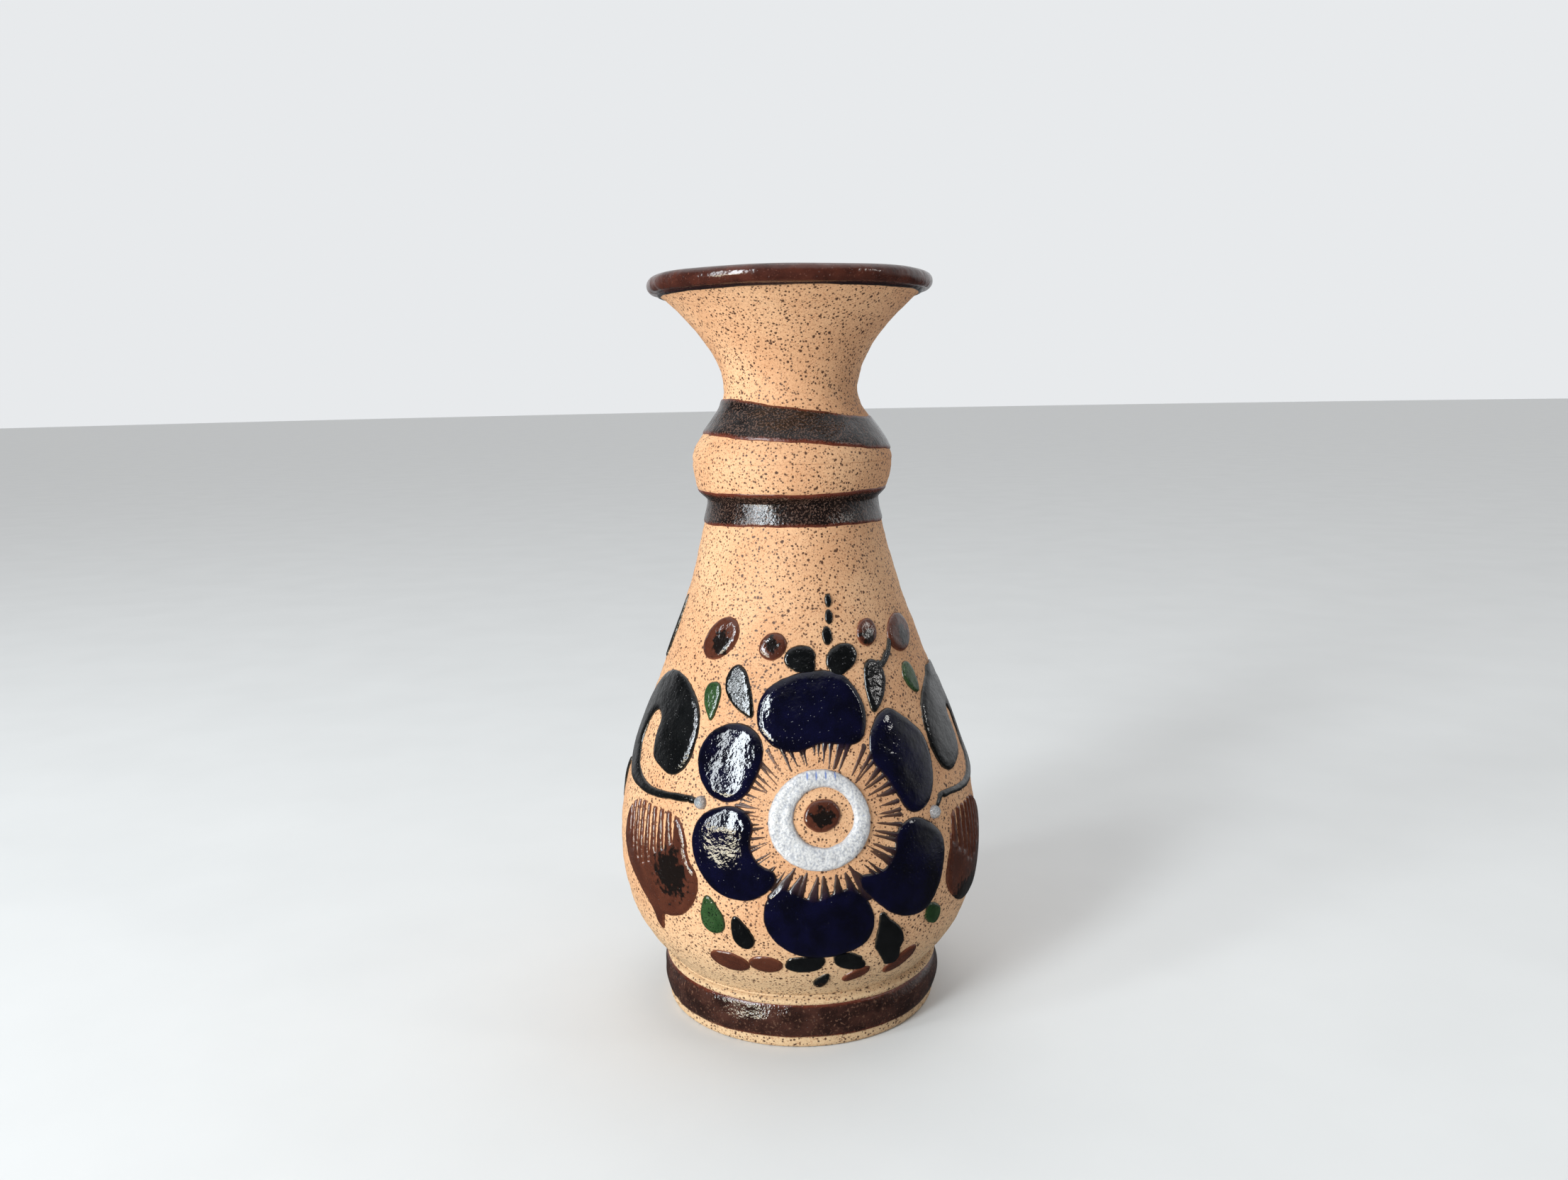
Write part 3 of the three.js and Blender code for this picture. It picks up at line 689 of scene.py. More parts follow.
@dataclass
class ClayBody(Turned):
    """The turned body, from the hollow under its floor to the joint at the collar."""

    ring_step: float = 0.4
    rounding: float = 0.5  # of the boss under the floor
    boss_inset: float = 5.2  # from the foot's outside in to that boss
    shoulder_inset: float = 1.2  # and in to where the body meets the foot's top
    floor_drop: float = 0.4  # from the inside wall's lowest station to the floor
    tuck: tuple = (-0.12, 0.3)  # the last ring, out and up from the wall's top, under the neck

    def build(self, finish: Material) -> None:
        """Makes the body."""
        wall = self.wall
        under = box_of("vessel_body")[0][2]
        foot, _, foot_top = box_of("foot_ring")[1]
        up = np.arange(wall.outside[0, 0], wall.ridge_height, self.ring_step)
        down = np.arange(wall.ridge_height, wall.inside[0, 0], -2 * self.ring_step)
        boss = foot - self.boss_inset
        head = [[boss * s, under] for s in np.linspace(0.1, 0.96, 8)]
        head += [[boss, under + self.rounding], [boss, foot_top],
                 [foot - self.shoulder_inset, foot_top + 0.05]]
        outer = curve(up, wall.outside)
        outer = np.vstack([outer, outer[-1] + self.tuck])
        floor = wall.inside[0, 0] - self.floor_drop
        flat = [[wall.inside[0, 1] * s, floor] for s in np.linspace(0.96, 0.05, 8)]
        profile = np.vstack([head, outer, curve(down, wall.inside), flat])
        share = np.zeros(len(profile))
        share[len(head):len(head) + len(outer)] = 1
        self.turn("clay_body", "vessel_body", profile, share, finish, True)


@dataclass
class ClayNeck(Turned):
    """The neck, flared from the collar's joint to a rounded lip."""

    ring_step: float = 0.3

    def build(self, finish: Material) -> None:
        """Makes the neck."""
        wall = self.wall
        outer = curve(np.arange(wall.ridge_height, wall.outside[-1, 0], self.ring_step),
                      wall.outside)
        inner = curve(np.arange(wall.inside[-1, 0], wall.ridge_height, -2 * self.ring_step),
                      wall.inside)
        bead = wall.lip(-50, 150, 22)
        share = np.concatenate([np.ones(len(outer)), np.linspace(1, 0, len(bead)),
                                np.zeros(len(inner))])
        self.turn("clay_neck", "neck", np.vstack([outer, bead, inner]), share, finish, False)


@dataclass
class ClayFoot(Turned):
    """The foot ring with its rounded edges, the slip that fillets it and a crumb of clay on it."""

    sides: int = 600
    rounding: float = 0.7
    ring_width: float = 4.6
    # from the ring's sides in to its flat standing face's first and last points
    stand_inset: float = 1.2
    # the brow of slip, out from the ring's outside and up from its top
    brow: tuple = ((0.1, -0.85), (0.28, -0.65), (0.34, -0.4), (0.24, -0.15), (0.0, 0.05),
                   (-0.3, 0.15))
    crumb: float = 0.55
    crumb_turn: float = -72.0  # degrees
    crumb_height: float = 1.5
    crumb_width: float = 0.6

    def __post_init__(self) -> None:
        """Reads the ring's size."""
        self.outer, _, self.top = box_of("foot_ring")[1]

    def relief(self, turn: Array, height: Array) -> Array:
        """How far the ring's outside stands out, with the crumb."""
        along = (turn - math.radians(self.crumb_turn % 360)) * self.outer
        away = np.hypot(along, height - self.crumb_height) / self.crumb_width
        return self.wall.relief(turn, height) + self.crumb * np.exp(-(away ** 2))

    def build(self, finish: Material) -> None:
        """Makes the ring."""
        outer, top, r = self.outer, self.top, self.rounding
        inner = outer - self.ring_width
        crease_height, crease = self.wall.outside[0]
        low = [[outer - r + r * math.cos(a), r + r * math.sin(a)]
               for a in np.radians(np.linspace(-90, 0, 7))]
        face = [[outer, z] for z in np.arange(1.0, top - 1.3, 0.3)]
        brow = [[outer + out, top + up] for out, up in self.brow] + [[crease - 0.1, crease_height]]
        hidden = [[crease - 1.6, top + 0.3], [inner, top - 0.1]]
        under = [[inner, r], [inner + r * 0.3, r * 0.3], [inner + r, 0]]
        stand = [[s, 0] for s in np.linspace(inner + self.stand_inset, outer - self.stand_inset, 6)]
        profile = np.array(low + face + brow + hidden + under + stand)
        share = np.zeros(len(profile))
        share[2:len(low) + len(face) + len(brow)] = 1
        self.turn("clay_foot", "foot_ring", profile, share, finish, False)


# ---- Coats that run right round ----


@dataclass
class Coat:
    """A coat of glaze laid along a profile all round the pot, with hand-run edges."""

    name: str
    stands_for: str
    slot: Slot
    thickness: float = 0.26
    edge: float = 0.55  # from an edge to where the coat is at its full thickness
    wave: float = 0.16  # how far an edge wanders
    # waves, share, share of the phase
    wander: tuple = ((2, 1.0, 1), (5, 0.5, 2), (13, 0.25, 1), (29, 0.15, 3))
    sunk: float = 0.15  # of its underside into the clay
    dip: float = 0.03  # and of its edges
    sides: int = 480
    across: int = 40

    def hand_run(self, position: float, phase: float, tilt: float = 0.0) -> Field:
        """The line of an edge about a position, dipping by the tilt towards +X."""

        def line(turn: Array) -> Array:
            """Positions at some turns."""
            waves = sum(share * np.sin(count * turn + times * phase)
                        for count, share, times in self.wander)
            return position - tilt * np.sin(turn) + self.wave * waves

        return line

    def lay(self, face: Callable, low: Field, high: Field, finish: Material) -> None:
        """Lays the coat.

        Args:
            face: Takes turns, positions and distances, and gives points off the clay there.
            low: Takes turns and gives the position of the lower edge.
            high: Takes turns and gives the position of the upper edge.
            finish: The material.
        """
        steps = (1 - np.cos(np.linspace(0, math.pi, self.across))) / 2
        ring, turn = rings(2 * self.across, self.sides)
        row = np.minimum(ring, 2 * self.across - 1 - ring)  # over the top, then back underneath
        start, end = low(turn), high(turn)
        at = start + (end - start) * steps[row]
        film = np.minimum(at - start, end - at)
        ease = np.clip(film / self.edge, 0, 1)
        uneven = 1 + 0.12 * np.sin(3 * turn + at) + 0.08 * np.sin(7 * turn - 2 * at)
        rise = self.thickness * np.sqrt(1 - (1 - ease) ** 2) * uneven - self.dip
        rise = np.where(ring < self.across, rise, -self.sunk)
        points, faces = close_rings(face(turn, at, rise), self.sides, False)
        new_piece(self.name, points, faces, finish, [self.stands_for], {"film": film})


@dataclass
class Coats:
    """Every coat that runs right round: the bands, the rim and the lining."""

    wall: Wall
    dress: dict[Slot, Material]
    foot_dress: Material
    lining: float = 0.15  # thickness of the lining over the clay
    floor_drop: float = 0.4  # as the body's
    foot_raise: float = 0.45  # how far the foot's band runs up past its node, over the brow
    groove_raise: float = 0.75  # and the groove's, under the ledge
    tilt: float = 1.35  # how far the upper band dips towards +X

    def build(self) -> None:
        """Lays the coats in the order a potter would."""
        self._lining()
        self._foot_band()
        self._groove_band()
        self._upper_band()
        self._rim()

    def _lining(self) -> None:
        """Lays the glaze inside the pot."""
        wall, sides = self.wall, 180
        down = np.arange(box_of("lining_glaze")[1][2], wall.inside[0, 0], -0.6)
        floor = wall.inside[0, 0] - self.floor_drop
        flat = [[wall.inside[0, 1] * s, floor + self.lining] for s in np.linspace(0.93, 0.04, 9)]
        over = np.vstack([curve(down, wall.inside) - [self.lining, 0], flat])
        under = over[::-1].copy()
        under[:, 1] -= np.where(under[:, 1] < floor + 1, 0.3, 0)
        under[:, 0] += np.where(under[:, 1] >= floor + 1, 0.3, 0.05)
        profile = np.vstack([under, over])
        ring, turn = rings(len(profile), sides)
        radius, height = profile[ring].T
        points, faces = close_rings(round_axis(radius, turn, height), sides, True)
        new_piece("lining", points, faces, self.dress[Slot.LINING], ["lining_glaze"],
                  {"film": np.full(len(points), 3.0)})

    def _foot_band(self) -> None:
        """Lays the band round the foot, between two strips of bare clay."""
        low, high = (corner[2] for corner in box_of("foot_band_glaze"))
        outer = box_of("foot_ring")[1][0]
        coat = Coat("foot_band", "foot_band_glaze", Slot.BAND, thickness=0.7, edge=2.6, wave=0.1)

        def face(turn: Array, at: Array, rise: Array) -> Array:
            """Points off the foot's upright face."""
            return round_axis(outer + self.wall.oval(turn, at) + rise, turn, at)

        coat.lay(face, coat.hand_run(low, 1.3), coat.hand_run(high + self.foot_raise, 4.0),
                 self.foot_dress)

    def _groove_band(self) -> None:
        """Lays the band in the groove under the collar."""
        low, high = (corner[2] for corner in box_of("groove_band_glaze"))
        coat = Coat("groove_band", "groove_band_glaze", Slot.BAND, wave=0.12)
        coat.lay(self.wall.skin, coat.hand_run(low, 2.1),
                 coat.hand_run(high + self.groove_raise, 5.2), self.dress[Slot.BAND])

    def _upper_band(self) -> None:
        """Lays the tilted band between the collar and the waist."""
        low, high = (corner[2] for corner in box_of("upper_band_glaze"))
        coat = Coat("upper_band", "upper_band_glaze", Slot.BAND, wave=0.14)
        coat.lay(self.wall.skin, coat.hand_run(low + self.tilt, 0.7, self.tilt),
                 coat.hand_run(high - self.tilt, 3.4, self.tilt), self.dress[Slot.BAND])

    def _rim(self) -> None:
        """Lays the coat over the lip and a little way down inside."""
        wall = self.wall
        outer = np.arange(wall.outside[-1, 0] - 0.6, wall.lip_height - wall.bead * 0.75, 0.2)
        inner = np.arange(wall.inside[-1, 0], box_of("rim_glaze")[0][2], -0.2)
        path = np.vstack([curve(outer, wall.outside), wall.lip(-62, 150, 40),
                          curve(inner, wall.inside)])
        length = np.concatenate([[0], np.cumsum(np.hypot(*np.diff(path, axis=0).T))])
        along = np.gradient(path, length, axis=0)
        along /= np.linalg.norm(along, axis=1)[:, None]
        coat = Coat("rim_coat", "rim_glaze", Slot.RIM, thickness=0.42, edge=0.5, wave=0.1,
                    across=70)

        def face(turn: Array, at: Array, rise: Array) -> Array:
            """Points off the lip's rounded profile."""
            radius, height = (np.interp(at, length, path[:, k]) for k in (0, 1))
            outwards, upwards = (np.interp(at, length, along[:, k]) for k in (0, 1))
            out = radius + upwards * rise + wall.relief(turn, height) * np.clip(1 - at / 4, 0, 1)
            return round_axis(out, turn, height - outwards * rise)

        coat.lay(face, coat.hand_run(1.2, 1.1), coat.hand_run(length[-1] - 0.5, 2.0),
                 self.dress[Slot.RIM])


# ---- Enamel ----
# Strokes are drawn on the unrolled belly: across to the right and up from the flower's eye.


@dataclass(frozen=True)
class Wedge:
    """A tapered stroke between two points of the drawing, with a half-width at each."""

    start: tuple[float, float]
    end: tuple[float, float]
    start_half: float
    end_half: float

    def inside(self, points: Array) -> Array:
        """How deep each point lies inside the stroke, negative outside."""
        a, b = np.array(self.start), np.array(self.end)
        span = b - a
        t = np.clip((points - a) @ span / (span @ span), 0, 1)
        away = np.linalg.norm(points - a - t[:, None] * span, axis=1)
        return self.start_half + (self.end_half - self.start_half) * t - away


@dataclass(frozen=True)
class Comb:
    """A fan of strokes that point at the flower's eye."""

    middle: float  # degrees round from the right
    spread: float  # degrees
    count: int
    inner: float  # where the teeth end, from the eye
    outer_half: float
    inner_half: float
    seed: int
    outer: float = 11.0  # where they start, inside the petal

    def strokes(self) -> list[Wedge]:
        """The strokes, each a little different.

        Returns:
            One tapered stroke for each tooth.
        """
        chance = np.random.default_rng(self.seed)
        made = []
        for share in np.linspace(-0.5, 0.5, self.count):
            angle = math.radians(self.middle + share * self.spread + chance.uniform(-1.9, 1.9))
            reach = self.inner + chance.uniform(-0.2, 0.8)
            lean = math.radians(chance.uniform(-3, 3))
            start, end = ((r * math.cos(a), r * math.sin(a))
                          for r, a in ((self.outer, angle), (reach, angle + lean)))
            made.append(Wedge(start, end, self.outer_half * chance.uniform(0.75, 1.2),
                              self.inner_half))
        return made


@dataclass(frozen=True)
class Pool:
    """A spot where an enamel lies thicker or another colour has run in."""

    across: float
    up: float
    wide: float
    tall: float

    def depth(self, points: Array) -> Array:
        """How strongly each point lies in the pool, from 0 to 1."""
        return np.exp(-(((points[:, 0] - self.across) / self.wide) ** 2)
                      - ((points[:, 1] - self.up) / self.tall) ** 2)


@dataclass(frozen=True)
class Stroke:
    """How one enamel pad differs from its node's plain outline."""

    node: str  # the frame's node, or the name of a small extra that has none
    slot: Slot
    height: float = 0.26
    edge: float = 0.6  # from the edge to where the pad is at its full height
    grow: float = 0.0
    extra: tuple[Wedge, ...] = ()  # strokes added to the outline
    cuts: tuple[Wedge, ...] = ()  # gaps combed out of it
    pools: tuple[Pool, ...] = ()
    facing: Facing = Facing.FRONT
    step: float = 0.16  # of the pad's grid
    dry: float = 0.0  # how far the added strokes fade towards the dry colour
    clear: bool = False  # a see-through bead


def nearest_inside(points: Array, loops: list[Array]) -> Array:
    """How deep each point lies inside an outline, negative outside.

    Args:
        points: Rows of across and up.
        loops: The outline's closed loops.

    Returns:
        The depths.
    """
    starts = np.vstack(loops)
    span = np.vstack([np.roll(loop, -1, axis=0) for loop in loops]) - starts
    squared = np.maximum((span ** 2).sum(1), 1e-12)
    depth = np.empty(len(points))
    for first in range(0, len(points), 3000):
        batch = slice(first, first + 3000)
        some = points[batch, None, :] - starts[None]
        t = np.clip((some * span).sum(2) / squared, 0, 1)
        near = np.sqrt(((some - t[..., None] * span) ** 2).sum(2).min(1))
        x, y = points[batch, 0, None], points[batch, 1, None]
        crosses = (starts[:, 1] > y) != (starts[:, 1] + span[:, 1] > y)
        rise = np.where(span[:, 1] == 0, 1e-12, span[:, 1])
        left = x < starts[:, 0] + (y - starts[:, 1]) * span[:, 0] / rise
        depth[batch] = np.where((crosses & left).sum(1) % 2 == 1, near, -near)
    return depth


@dataclass
class Enamels:
    """The raised painting, each stroke a domed pad that wets the clay under it."""

    wall: Wall
    dress: dict[Slot, Material]
    clear_dress: Material
    drum: float = 24.8  # radius that the drawing is rolled round
    centre: float = 34.2  # height of the flower's eye
    cap_above: float = 0.45  # a node's corners further off the clay than this are its outer face
    sunk: float = 0.12  # of a pad's underside into the clay
    dip: float = 0.025  # and of its edge
    bead: float = 0.1  # how much higher a pad stands in a bead just inside its edge, as a share
    bead_at: float = 0.9  # from the edge
    bead_width: float = 0.5
    thinned: float = 0.65  # how much lower an added stroke lies, as a share
    thinned_over: float = 0.9  # from the outline out to where it does so fully
    clear_of_lines: float = 0.06  # how far a thin stroke is lifted clear of the throwing lines
    shiver: float = 0.035  # how far an outline trembles
    fade: float = 2.6  # from the outline out to where an added stroke is driest

    def build(self, strokes: Iterable[Stroke]) -> None:
        """Lays every stroke."""
        for stroke in strokes:
            self._lay(stroke)

    def _outline(self, stroke: Stroke) -> list[Array]:
        """Reads a node's outline off its outer face.

        Args:
            stroke: The stroke to read it for.

        Returns:
            Closed loops of across and up.
        """
        corners, faces = corners_of(stroke.node)
        face = curve(np.arange(8, 100, 0.05), self.wall.outside)
        out = np.hypot(corners[:, 0], corners[:, 1])
        gap = np.hypot(out[:, None] - face[None, :, 0], corners[:, 2][:, None] - face[None, :, 1])
        nearest, off = gap.argmin(1), gap.min(1)
        turn = np.arctan2(corners[:, 0], -corners[:, 1]) - stroke.facing.value
        turn = (turn + math.pi) % FULL_TURN - math.pi
        drawn = np.column_stack([turn * self.drum, face[nearest, 1] - self.centre])
        cap = [f for f in faces if all(off[v] > self.cap_above for v in f)]
        edges = {(f[i], f[(i + 1) % len(f)]) for f in cap for i in range(len(f))}
        follow = {a: b for a, b in edges if (b, a) not in edges}
        loops = []
        while follow:
            first, at = follow.popitem()
            chain = [first]
            while at != first and at in follow:
                chain.append(at)
                at = follow.pop(at)
            loops.append(self._smooth(drawn[chain]))
        return loops

    @staticmethod
    def _smooth(loop: Array) -> Array:
        """Rounds a loop's corners by a curve through them."""
        before, after, second = (np.roll(loop, k, axis=0) for k in (1, -1, -2))
        parts = [0.5 * (2 * loop + t * (after - before)
                        + t * t * (2 * before - 5 * loop + 4 * after - second)
                        + t ** 3 * (3 * loop - before - 3 * after + second))
                 for t in (0.0, 0.2, 0.4, 0.6, 0.8)]
        return np.stack(parts, axis=1).reshape(-1, 2)

    def _field(self, stroke: Stroke, loops: list[Array]) -> Field:
        """The depth inside a stroke once its teeth are added and its gaps cut."""

        def depth(points: Array) -> Array:
            """Depths of some points."""
            value = nearest_inside(points, loops) + stroke.grow
            for wedge in stroke.extra:
                value = np.maximum(value, wedge.inside(points))
            for wedge in stroke.cuts:
                value = np.minimum(value, -wedge.inside(points))
            tremble = np.sin(points[:, 0] * 2.3 + 1.7 * np.sin(points[:, 1] * 1.9))
            return value + self.shiver * tremble * np.cos(points[:, 1] * 2.9)

        return depth

    @staticmethod
    def _to_edge(points: Array, depth: Field) -> Array:
        """Moves points on to the edge that a depth describes."""
        reach = 0.01
        for _ in range(3):
            d = depth(points)
            slope = np.column_stack([(depth(points + move) - d) / reach
                                     for move in ([reach, 0], [0, reach])])
            steep = np.maximum((slope ** 2).sum(1), 0.2)
            points = points - slope * (d / steep)[:, None]
        return points

    def _grid(self, stroke: Stroke, loops: list[Array]) -> tuple[Array, Array, Array]:
        """Fills a stroke with a fine grid that ends on its edge.

        Args:
            stroke: The stroke.
            loops: Its node's outline.

        Returns:
            The points, the quads over them and how far each point lies from the edge.
        """
        depth, step = self._field(stroke, loops), stroke.step
        drawn = np.vstack(loops + [np.array([w.start, w.end]) for w in stroke.extra])
        low, high = drawn.min(0) - 0.6, drawn.max(0) + 0.6
        grid = np.stack(np.meshgrid(*(np.arange(low[k], high[k] + step, step) for k in (0, 1))),
                        axis=-1)
        flat = grid.reshape(-1, 2)
        d = depth(flat)
        inside = d >= 0.4 * step
        wide = inside.reshape(grid.shape[:2])
        cell = wide[:-1, :-1] | wide[1:, :-1] | wide[:-1, 1:] | wide[1:, 1:]
        used = np.zeros(wide.shape, bool)
        for dy in (0, 1):
            for dx in (0, 1):
                used[dy:cell.shape[0] + dy, dx:cell.shape[1] + dx] |= cell
        used = used.ravel()
        rim = used & ~inside
        flat[rim] = self._to_edge(flat[rim], depth)
        number = np.cumsum(used) - 1
        across = grid.shape[1]
        row, column = np.nonzero(cell)
        corner = row * across + column
        quads = number[np.column_stack([corner, corner + 1, corner + 1 + across, corner + across])]
        return flat[used], quads, np.where(rim[used], 0, np.maximum(d[used], 0))

    def _lay(self, stroke: Stroke) -> None:
        """Makes one pad, domed above and closed below."""
        known = stroke.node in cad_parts
        loops = self._outline(stroke) if known else [np.array(stroke.extra[0].start) + CRUMB]
        points, quads, film = self._grid(stroke, loops)
        count = len(points)
        ease = np.clip(film / stroke.edge, 0, 1)
        body = np.sqrt(1 - (1 - ease) ** 2)
        roll = self.bead * np.exp(-(((film - self.bead_at) / self.bead_width) ** 2)) * (film > 0)
        uneven = 0.1 * np.sin(points[:, 0] * 0.9 + 1) * np.cos(points[:, 1] * 0.8) * ease
        past = np.maximum(-nearest_inside(points, loops), 0) if stroke.dry else np.zeros(count)
        beyond = np.clip(past / self.thinned_over, 0, 1)
        lift = self.clear_of_lines * np.clip(film / 0.15, 0, 1)
        full = stroke.height * (body + roll + uneven)
        rise = full * (1 - self.thinned * beyond) + lift - self.dip
        turn = stroke.facing.value + points[:, 0] / self.drum
        height = self.centre + points[:, 1]
        skins = [self.wall.skin(turn, height, at) for at in (rise, np.full(count, -self.sunk))]
        edges = np.vstack([quads[:, [i, (i + 1) % 4]] for i in range(4)])
        lone = ~np.isin(edges @ [count, 1], edges @ [1, count])
        a, b = edges[lone].T
        faces = quads.tolist() + (quads[:, ::-1] + count).tolist()
        faces += np.column_stack([b, a, a + count, b + count]).tolist()
        marks = {"film": film, "brushed": beyond,
                 "dry": stroke.dry * np.clip(past / self.fade, 0, 1) ** 0.8,
                 "pool": sum((pool.depth(points) for pool in stroke.pools), np.zeros(count))}
        new_piece(f"enamel_{stroke.node}", np.vstack(skins), faces,
                  self.clear_dress if stroke.clear else self.dress[stroke.slot],
                  [stroke.node] if known else [],
                  {mark: np.tile(values, 2) for mark, values in marks.items()})


def flower() -> list[Stroke]:
    """The flower's strokes: petals with combed inner edges, ring, eye and the two pearls.

    Returns:
        The strokes.
    """
    petals = {  # how dry the teeth are, and the teeth
        "petal_top": (0.35, Comb(92, 58, 10, 6.5, 0.62, 0.1, 3, 11.2),
                      Comb(66, 4, 2, 6.4, 0.7, 0.2, 4)),
        "petal_upper_right": (0.4, Comb(22, 52, 10, 6.8, 0.44, 0.08, 5)),
        "petal_lower_right": (0.4, Comb(-35, 52, 10, 6.9, 0.44, 0.08, 7)),
        "petal_bottom": (0.3, Comb(-92, 60, 8, 6.6, 0.9, 0.16, 9, 11.6)),
        "petal_lower_left": (0.75, Comb(-158, 62, 12, 7.0, 0.3, 0.07, 11, 10.8)),
        "petal_upper_left": (0.85, Comb(154, 52, 12, 7.0, 0.26, 0.06, 13, 11.2)),
    }
    made = [Stroke(node, Slot.COBALT, height=0.5, edge=3.2, grow=0.25, step=0.12, dry=dry,
                   extra=tuple(tooth for comb in combs for tooth in comb.strokes()))
            for node, (dry, *combs) in petals.items()]
    ticks = tuple(Pool(x, 5.4, 0.16, 0.7) for x in (-1.6, -0.4, 0.9, 2.2))
    made.append(Stroke("flower_ring", Slot.WHITE, height=0.5, edge=0.9, pools=ticks))
    made.append(Stroke("flower_eye", Slot.BROWN, height=0.36, pools=(Pool(0.2, 0.4, 1.5, 1.3),)))
    return made + [Stroke(f"pearl_{side}", Slot.WHITE, height=0.85, edge=0.9, step=0.1, clear=True)
                   for side in ("left", "right")]


def sprays() -> list[Stroke]:
    """The scrolls, buds, leaves, dots and dashes round the flower and on the back.

    Returns:
        The strokes.
    """
    ends = ((-30.9, -5.4), (-29.5, -7.4), (-28.1, -8.6), (-26.7, -8.9), (-25.3, -8.2),
            (-23.9, -6.6), (-22.4, -5.8), (-20.9, -4.6))
    gaps = {"left": tuple(Wedge((x, 0.2), (x + 0.5, y), 0.42, 0.04) for x, y in ends),
            "right": tuple(Wedge((-x - 0.4, -1.4), (-x - 0.9, y - 1.8), 0.42, 0.04)
                           for x, y in ends)}
    stains = {"left": (Pool(-20.5, -8.5, 3.0, 3.5),), "right": (Pool(24.5, -15.0, 5, 2.2),)}
    made = [Stroke(f"bud_{side}", Slot.BROWN, height=0.34, edge=0.9, cuts=gaps[side],
                   pools=stains[side], step=0.12) for side in ("left", "right")]
    scroll = {"height": 0.45, "edge": 2.4, "step": 0.18}
    tip = {"height": 0.2, "edge": 0.4, "grow": 0.2, "step": 0.1}
    touch = {"grow": 0.12}
    # how each black stroke is laid, and the wedges added: across and up at both ends, half-widths
    black = {
        "scroll_left": (scroll, (-18.2, 1.5, -16.9, 1.5, 0.5, 0.4)),
        "scroll_right": (scroll, (18.9, 0.1, 17.5, -1.2, 0.5, 0.35),
                         (26.5, 11.5, 31.0, 14.2, 3.0, 2.9)),
        "sepal_left": ({"grow": 0.35}, (-2.4, 19.3, -0.8, 18.9, 1.4, 1.5)),
        "sepal_right": ({"grow": 0.35}, (6.4, 19.5, 4.6, 18.8, 1.7, 1.7)),
        "leaf_black_upper_right": ({"grow": 0.2}, (11.8, 17.6, 13.4, 18.2, 0.8, 0.4)),
        "dot_stem_right": ({}, (16.4, 19.2, 17.6, 20.6, 0.5, 0.45),
                           (14.6, 18.2, 13.2, 17.7, 0.5, 0.45)),
        "dash_black_left": ({"grow": 0.3}, (-4.0, -19.6, -0.9, -19.4, 0.9, 1.3)),
        "dash_black_right": ({"grow": 0.3}, (4.6, -19.9, 2.6, -19.0, 1.0, 1.2)),
        "leaf_black_lower_right": ({"grow": 0.1}, (7.7, -13.4, 8.9, -17.4, 0.5, 2.0),
                                   (8.9, -17.6, 10.4, -20.9, 1.9, 1.3)),
        "leaf_black_upper_left": (touch,),
        "leaf_black_lower_left": (touch,),
        "drop_black": (touch,),
        "tip_dash_1": (tip,),
        "tip_dash_2": (tip,),
        "tip_dash_3": (tip,),
        "side_stroke": ({}, (-38.6, 17.5, -37.4, 22.0, 0.5, 0.9),
                        (-37.4, 22.0, -36.0, 26.0, 0.9, 0.3)),
        "side_leaf": ({}, (-43.5, -4.0, -39.5, 1.8, 1.7, 0.4)),
    }
    for node, (laid, *added) in black.items():
        extra = tuple(Wedge((x, y), (to_x, to_y), half, to_half)
                      for x, y, to_x, to_y, half, to_half in added)
        made.append(Stroke(node, Slot.BLACK, extra=extra, **laid))
    for node, grow in (("upper_left", 0.0), ("lower_left", 0.25), ("upper_right", 0.3)):
        made.append(Stroke(f"leaf_green_{node}", Slot.GREEN, grow=grow))
    made.append(Stroke("leaf_green_lower_right", Slot.GREEN, grow=0.15,
                       extra=(Wedge((15.6, -14.9), (16.5, -15.7), 1.25, 1.35),)))
    for node, grow, height, edge, pool in (
            ("large_left", 0.0, 0.38, 1.3, Pool(-17.9, 21.2, 2.2, 1.6)),
            ("small_left", 0.2, 0.36, 1.1, Pool(-7.4, 21.4, 1.4, 1.0)),
            ("small_right", 0.25, 0.34, 1.0, Pool(12.0, 21.8, 1.6, 1.1)),
            ("large_right", 0.25, 0.36, 1.2, Pool(22.4, 20.8, 2.0, 1.4))):
        made.append(Stroke(f"dot_{node}", Slot.BROWN, grow=grow, height=height, edge=edge,
                           pools=(pool,)))
    for node, grow in (("left_1", 0.2), ("left_2", 0.3), ("right_1", 0.3), ("right_2", 0.45)):
        made.append(Stroke(f"dash_brown_{node}", Slot.BROWN, grow=grow))
    made.append(Stroke("back_stem", Slot.BLACK, facing=Facing.BACK))
    made.append(Stroke("back_bud", Slot.BROWN, height=0.36, edge=1.2,
                       pools=(Pool(0, 13.0, 2.4, 2.4),), facing=Facing.BACK))
    motifs = (("leaf_green", Slot.GREEN), ("leaf_black", Slot.BLACK), ("dot", Slot.BROWN),
              ("dash", Slot.BROWN))
    return made + [Stroke(f"back_{what}_{side}", slot, height=0.32, edge=0.9, facing=Facing.BACK)
                   for side in ("left", "right") for what, slot in motifs]


# ---- Studio ----


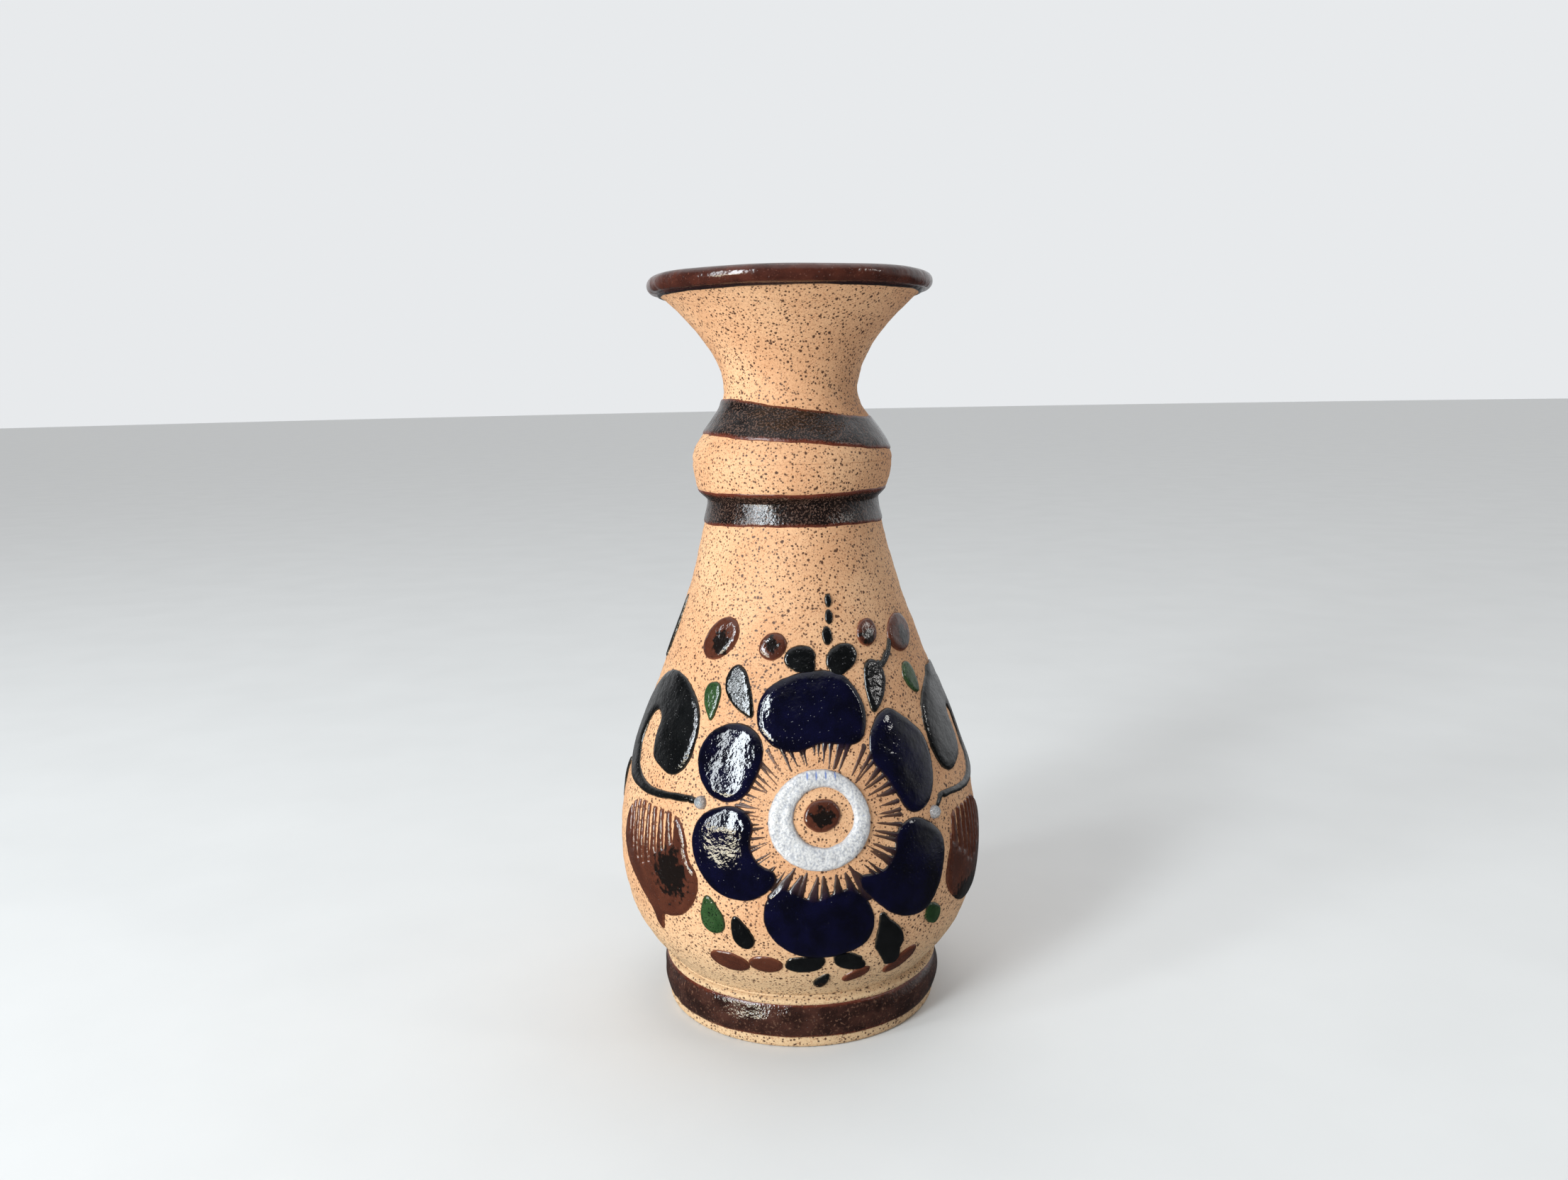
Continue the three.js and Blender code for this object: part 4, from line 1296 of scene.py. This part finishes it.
@dataclass(frozen=True)
class Window:
    """An upright soft light that faces the pot."""

    name: str
    left: float  # how far round to the left of the flower it stands, in degrees
    distance: float  # from the pot, in metres, like the size and the height
    size: tuple[float, float]
    height: float  # of its middle
    power: float  # in watts
    tint: tuple[float, float, float]
    aim: float = 0.055  # the height it looks at
    droop: float = 0.35  # the share of that fall that it is tilted by

    def hang(self) -> None:
        """Hangs it."""
        light = bpy.data.lights.new(self.name, "AREA")
        light.shape = "RECTANGLE"
        light.size, light.size_y = self.size
        light.energy = self.power
        light.color = self.tint
        turn = math.radians(-self.left)
        lamp = bpy.data.objects.new(self.name, light)
        lamp.location = (self.distance * math.sin(turn), -self.distance * math.cos(turn),
                         self.height)
        facing = Vector((0, 0, self.aim)) - lamp.location
        facing.z *= self.droop
        lamp.rotation_euler = facing.to_track_quat("-Z", "Y").to_euler()
        bpy.context.scene.collection.objects.link(lamp)


@dataclass
class Studio:
    """A pale floor, tall soft windows to the left, a faint one to the right, and the camera."""

    camera_distance: float = 0.176  # metres, like the next
    camera_height: float = 0.0884
    camera_turn: float = -6.6  # degrees
    lens: float = 28.35
    pitch: float = 0.159  # radians, and the next two too
    yaw: float = 0.0086
    roll: float = 0.0192
    floor_radius: float = 6.0  # metres
    windows: tuple[Window, ...] = (
        Window("window", 45.0, 0.62, (0.13, 0.42), 0.28, 4.1, (0.88, 0.95, 1.0)),
        Window("window_pane", 65.0, 0.62, (0.08, 0.42), 0.28, 1.7, (0.9, 0.96, 1.0)),
        Window("window_sill", 52.0, 0.62, (0.26, 0.07), 0.03, 0.95, (1.0, 0.92, 0.7)),
        Window("far_window", -64.0, 0.5, (0.05, 0.13), 0.31, 0.22, (1.0, 0.98, 0.94)),
    )

    def build(self) -> None:
        """Sets up the floor, the lights and the camera."""
        self._floor()
        self._world()
        for window in self.windows:
            window.hang()
        self._camera()

    def _floor(self) -> None:
        """Lays a wide pale floor, which the glazes don't mirror."""
        material = bpy.data.materials.new("pale_floor")
        material.use_nodes = True
        t = Tree(material.node_tree)
        where = t.add("TexCoord").outputs["Object"]
        tone = t.mix(t.noise(where, 40.0, 4), (0.70, 0.70, 0.69, 1), (0.76, 0.76, 0.75, 1))
        Finish.end(t, {"Base Color": tone, "Roughness": 0.8})
        mesh = bpy.data.meshes.new("floor")
        turns = np.linspace(0, FULL_TURN, 96, endpoint=False)
        rim = round_axis(self.floor_radius, turns, np.zeros(len(turns)))
        mesh.from_pydata(rim.tolist(), [], [list(range(len(rim)))])
        mesh.materials.append(material)
        floor = bpy.data.objects.new("floor", mesh)
        bpy.context.scene.collection.objects.link(floor)
        floor.visible_glossy = False

    @staticmethod
    def _world() -> None:
        """Fills the room with soft light: brighter behind, to the right and above, dim below."""
        world = bpy.data.worlds.new("room")
        bpy.context.scene.world = world
        world.use_nodes = True
        t = Tree(world.node_tree)
        x, y, z = t.add("SeparateXYZ", {0: t.add("TexCoord").outputs["Generated"]}).outputs
        behind = t.ramp(t.math("MULTIPLY_ADD", x, 0.46, y), -0.2, 0.9)
        behind = t.math("MULTIPLY", behind, t.ramp(z, -0.4, 0.15))
        above = t.ramp(z, 0.5, 1.0)
        strength = t.math("MULTIPLY_ADD", above, 1.0, t.math("MULTIPLY_ADD", behind, 0.75, 0.05))
        seen = t.add("LightPath").outputs["Is Camera Ray"]
        level = t.add("Mix", {0: seen, 2: strength, 3: 0.84}, data_type="FLOAT").outputs[0]
        sky = t.add("Background", {"Color": (0.96, 0.98, 1.0, 1), "Strength": level})
        t.add("OutputWorld", {"Surface": sky.outputs[0]})
        bpy.context.scene.view_settings.view_transform = "Standard"

    def _camera(self) -> None:
        """Places the camera."""
        data = bpy.data.cameras.new("camera")
        data.lens = self.lens
        data.sensor_width = 36
        data.clip_start = 0.005
        camera = bpy.data.objects.new("camera", data)
        bpy.context.scene.collection.objects.link(camera)
        level = math.cos(self.pitch)
        forward = Vector((-math.sin(self.yaw) * level, math.cos(self.yaw) * level,
                          -math.sin(self.pitch)))
        right = forward.cross(Vector((0, 0, 1))).normalized()
        above = right.cross(forward)
        c, s = math.cos(self.roll), math.sin(self.roll)
        axes = Matrix((c * right - s * above, s * right + c * above, -forward)).transposed()
        place = Matrix.Translation((0, -self.camera_distance, self.camera_height))
        round_pot = Matrix.Rotation(math.radians(self.camera_turn), 4, "Z")
        camera.matrix_world = round_pot @ place @ axes.to_4x4()
        bpy.context.scene.camera = camera


def main() -> None:
    """Builds the studio and every piece of the vase, in the order it is made."""
    logging.basicConfig(level=logging.INFO, format="%(message)s")
    Studio().build()
    wall = Wall()
    effects = Effects()
    dress = finishes(effects)
    foot_dress = Glaze("iron_foot_glaze", effects, thick=colour(34, 19, 16),
                       cloud=colour(66, 40, 33), grain=colour(100, 72, 58), grain_low=0.55,
                       grain_high=0.75, grain_per_mm=2.6, rough=0.11).build()
    clear_dress = Crystal("clear_pearl_enamel", effects, white=colour(216, 222, 226),
                          transmission=0.6).build()
    for piece in (ClayBody, ClayNeck, ClayFoot):
        piece(wall).build(dress[Slot.CLAY])
    Coats(wall, dress, foot_dress).build()
    Enamels(wall, dress, clear_dress).build(flower() + sprays())


if __name__ == "__main__":
    main()
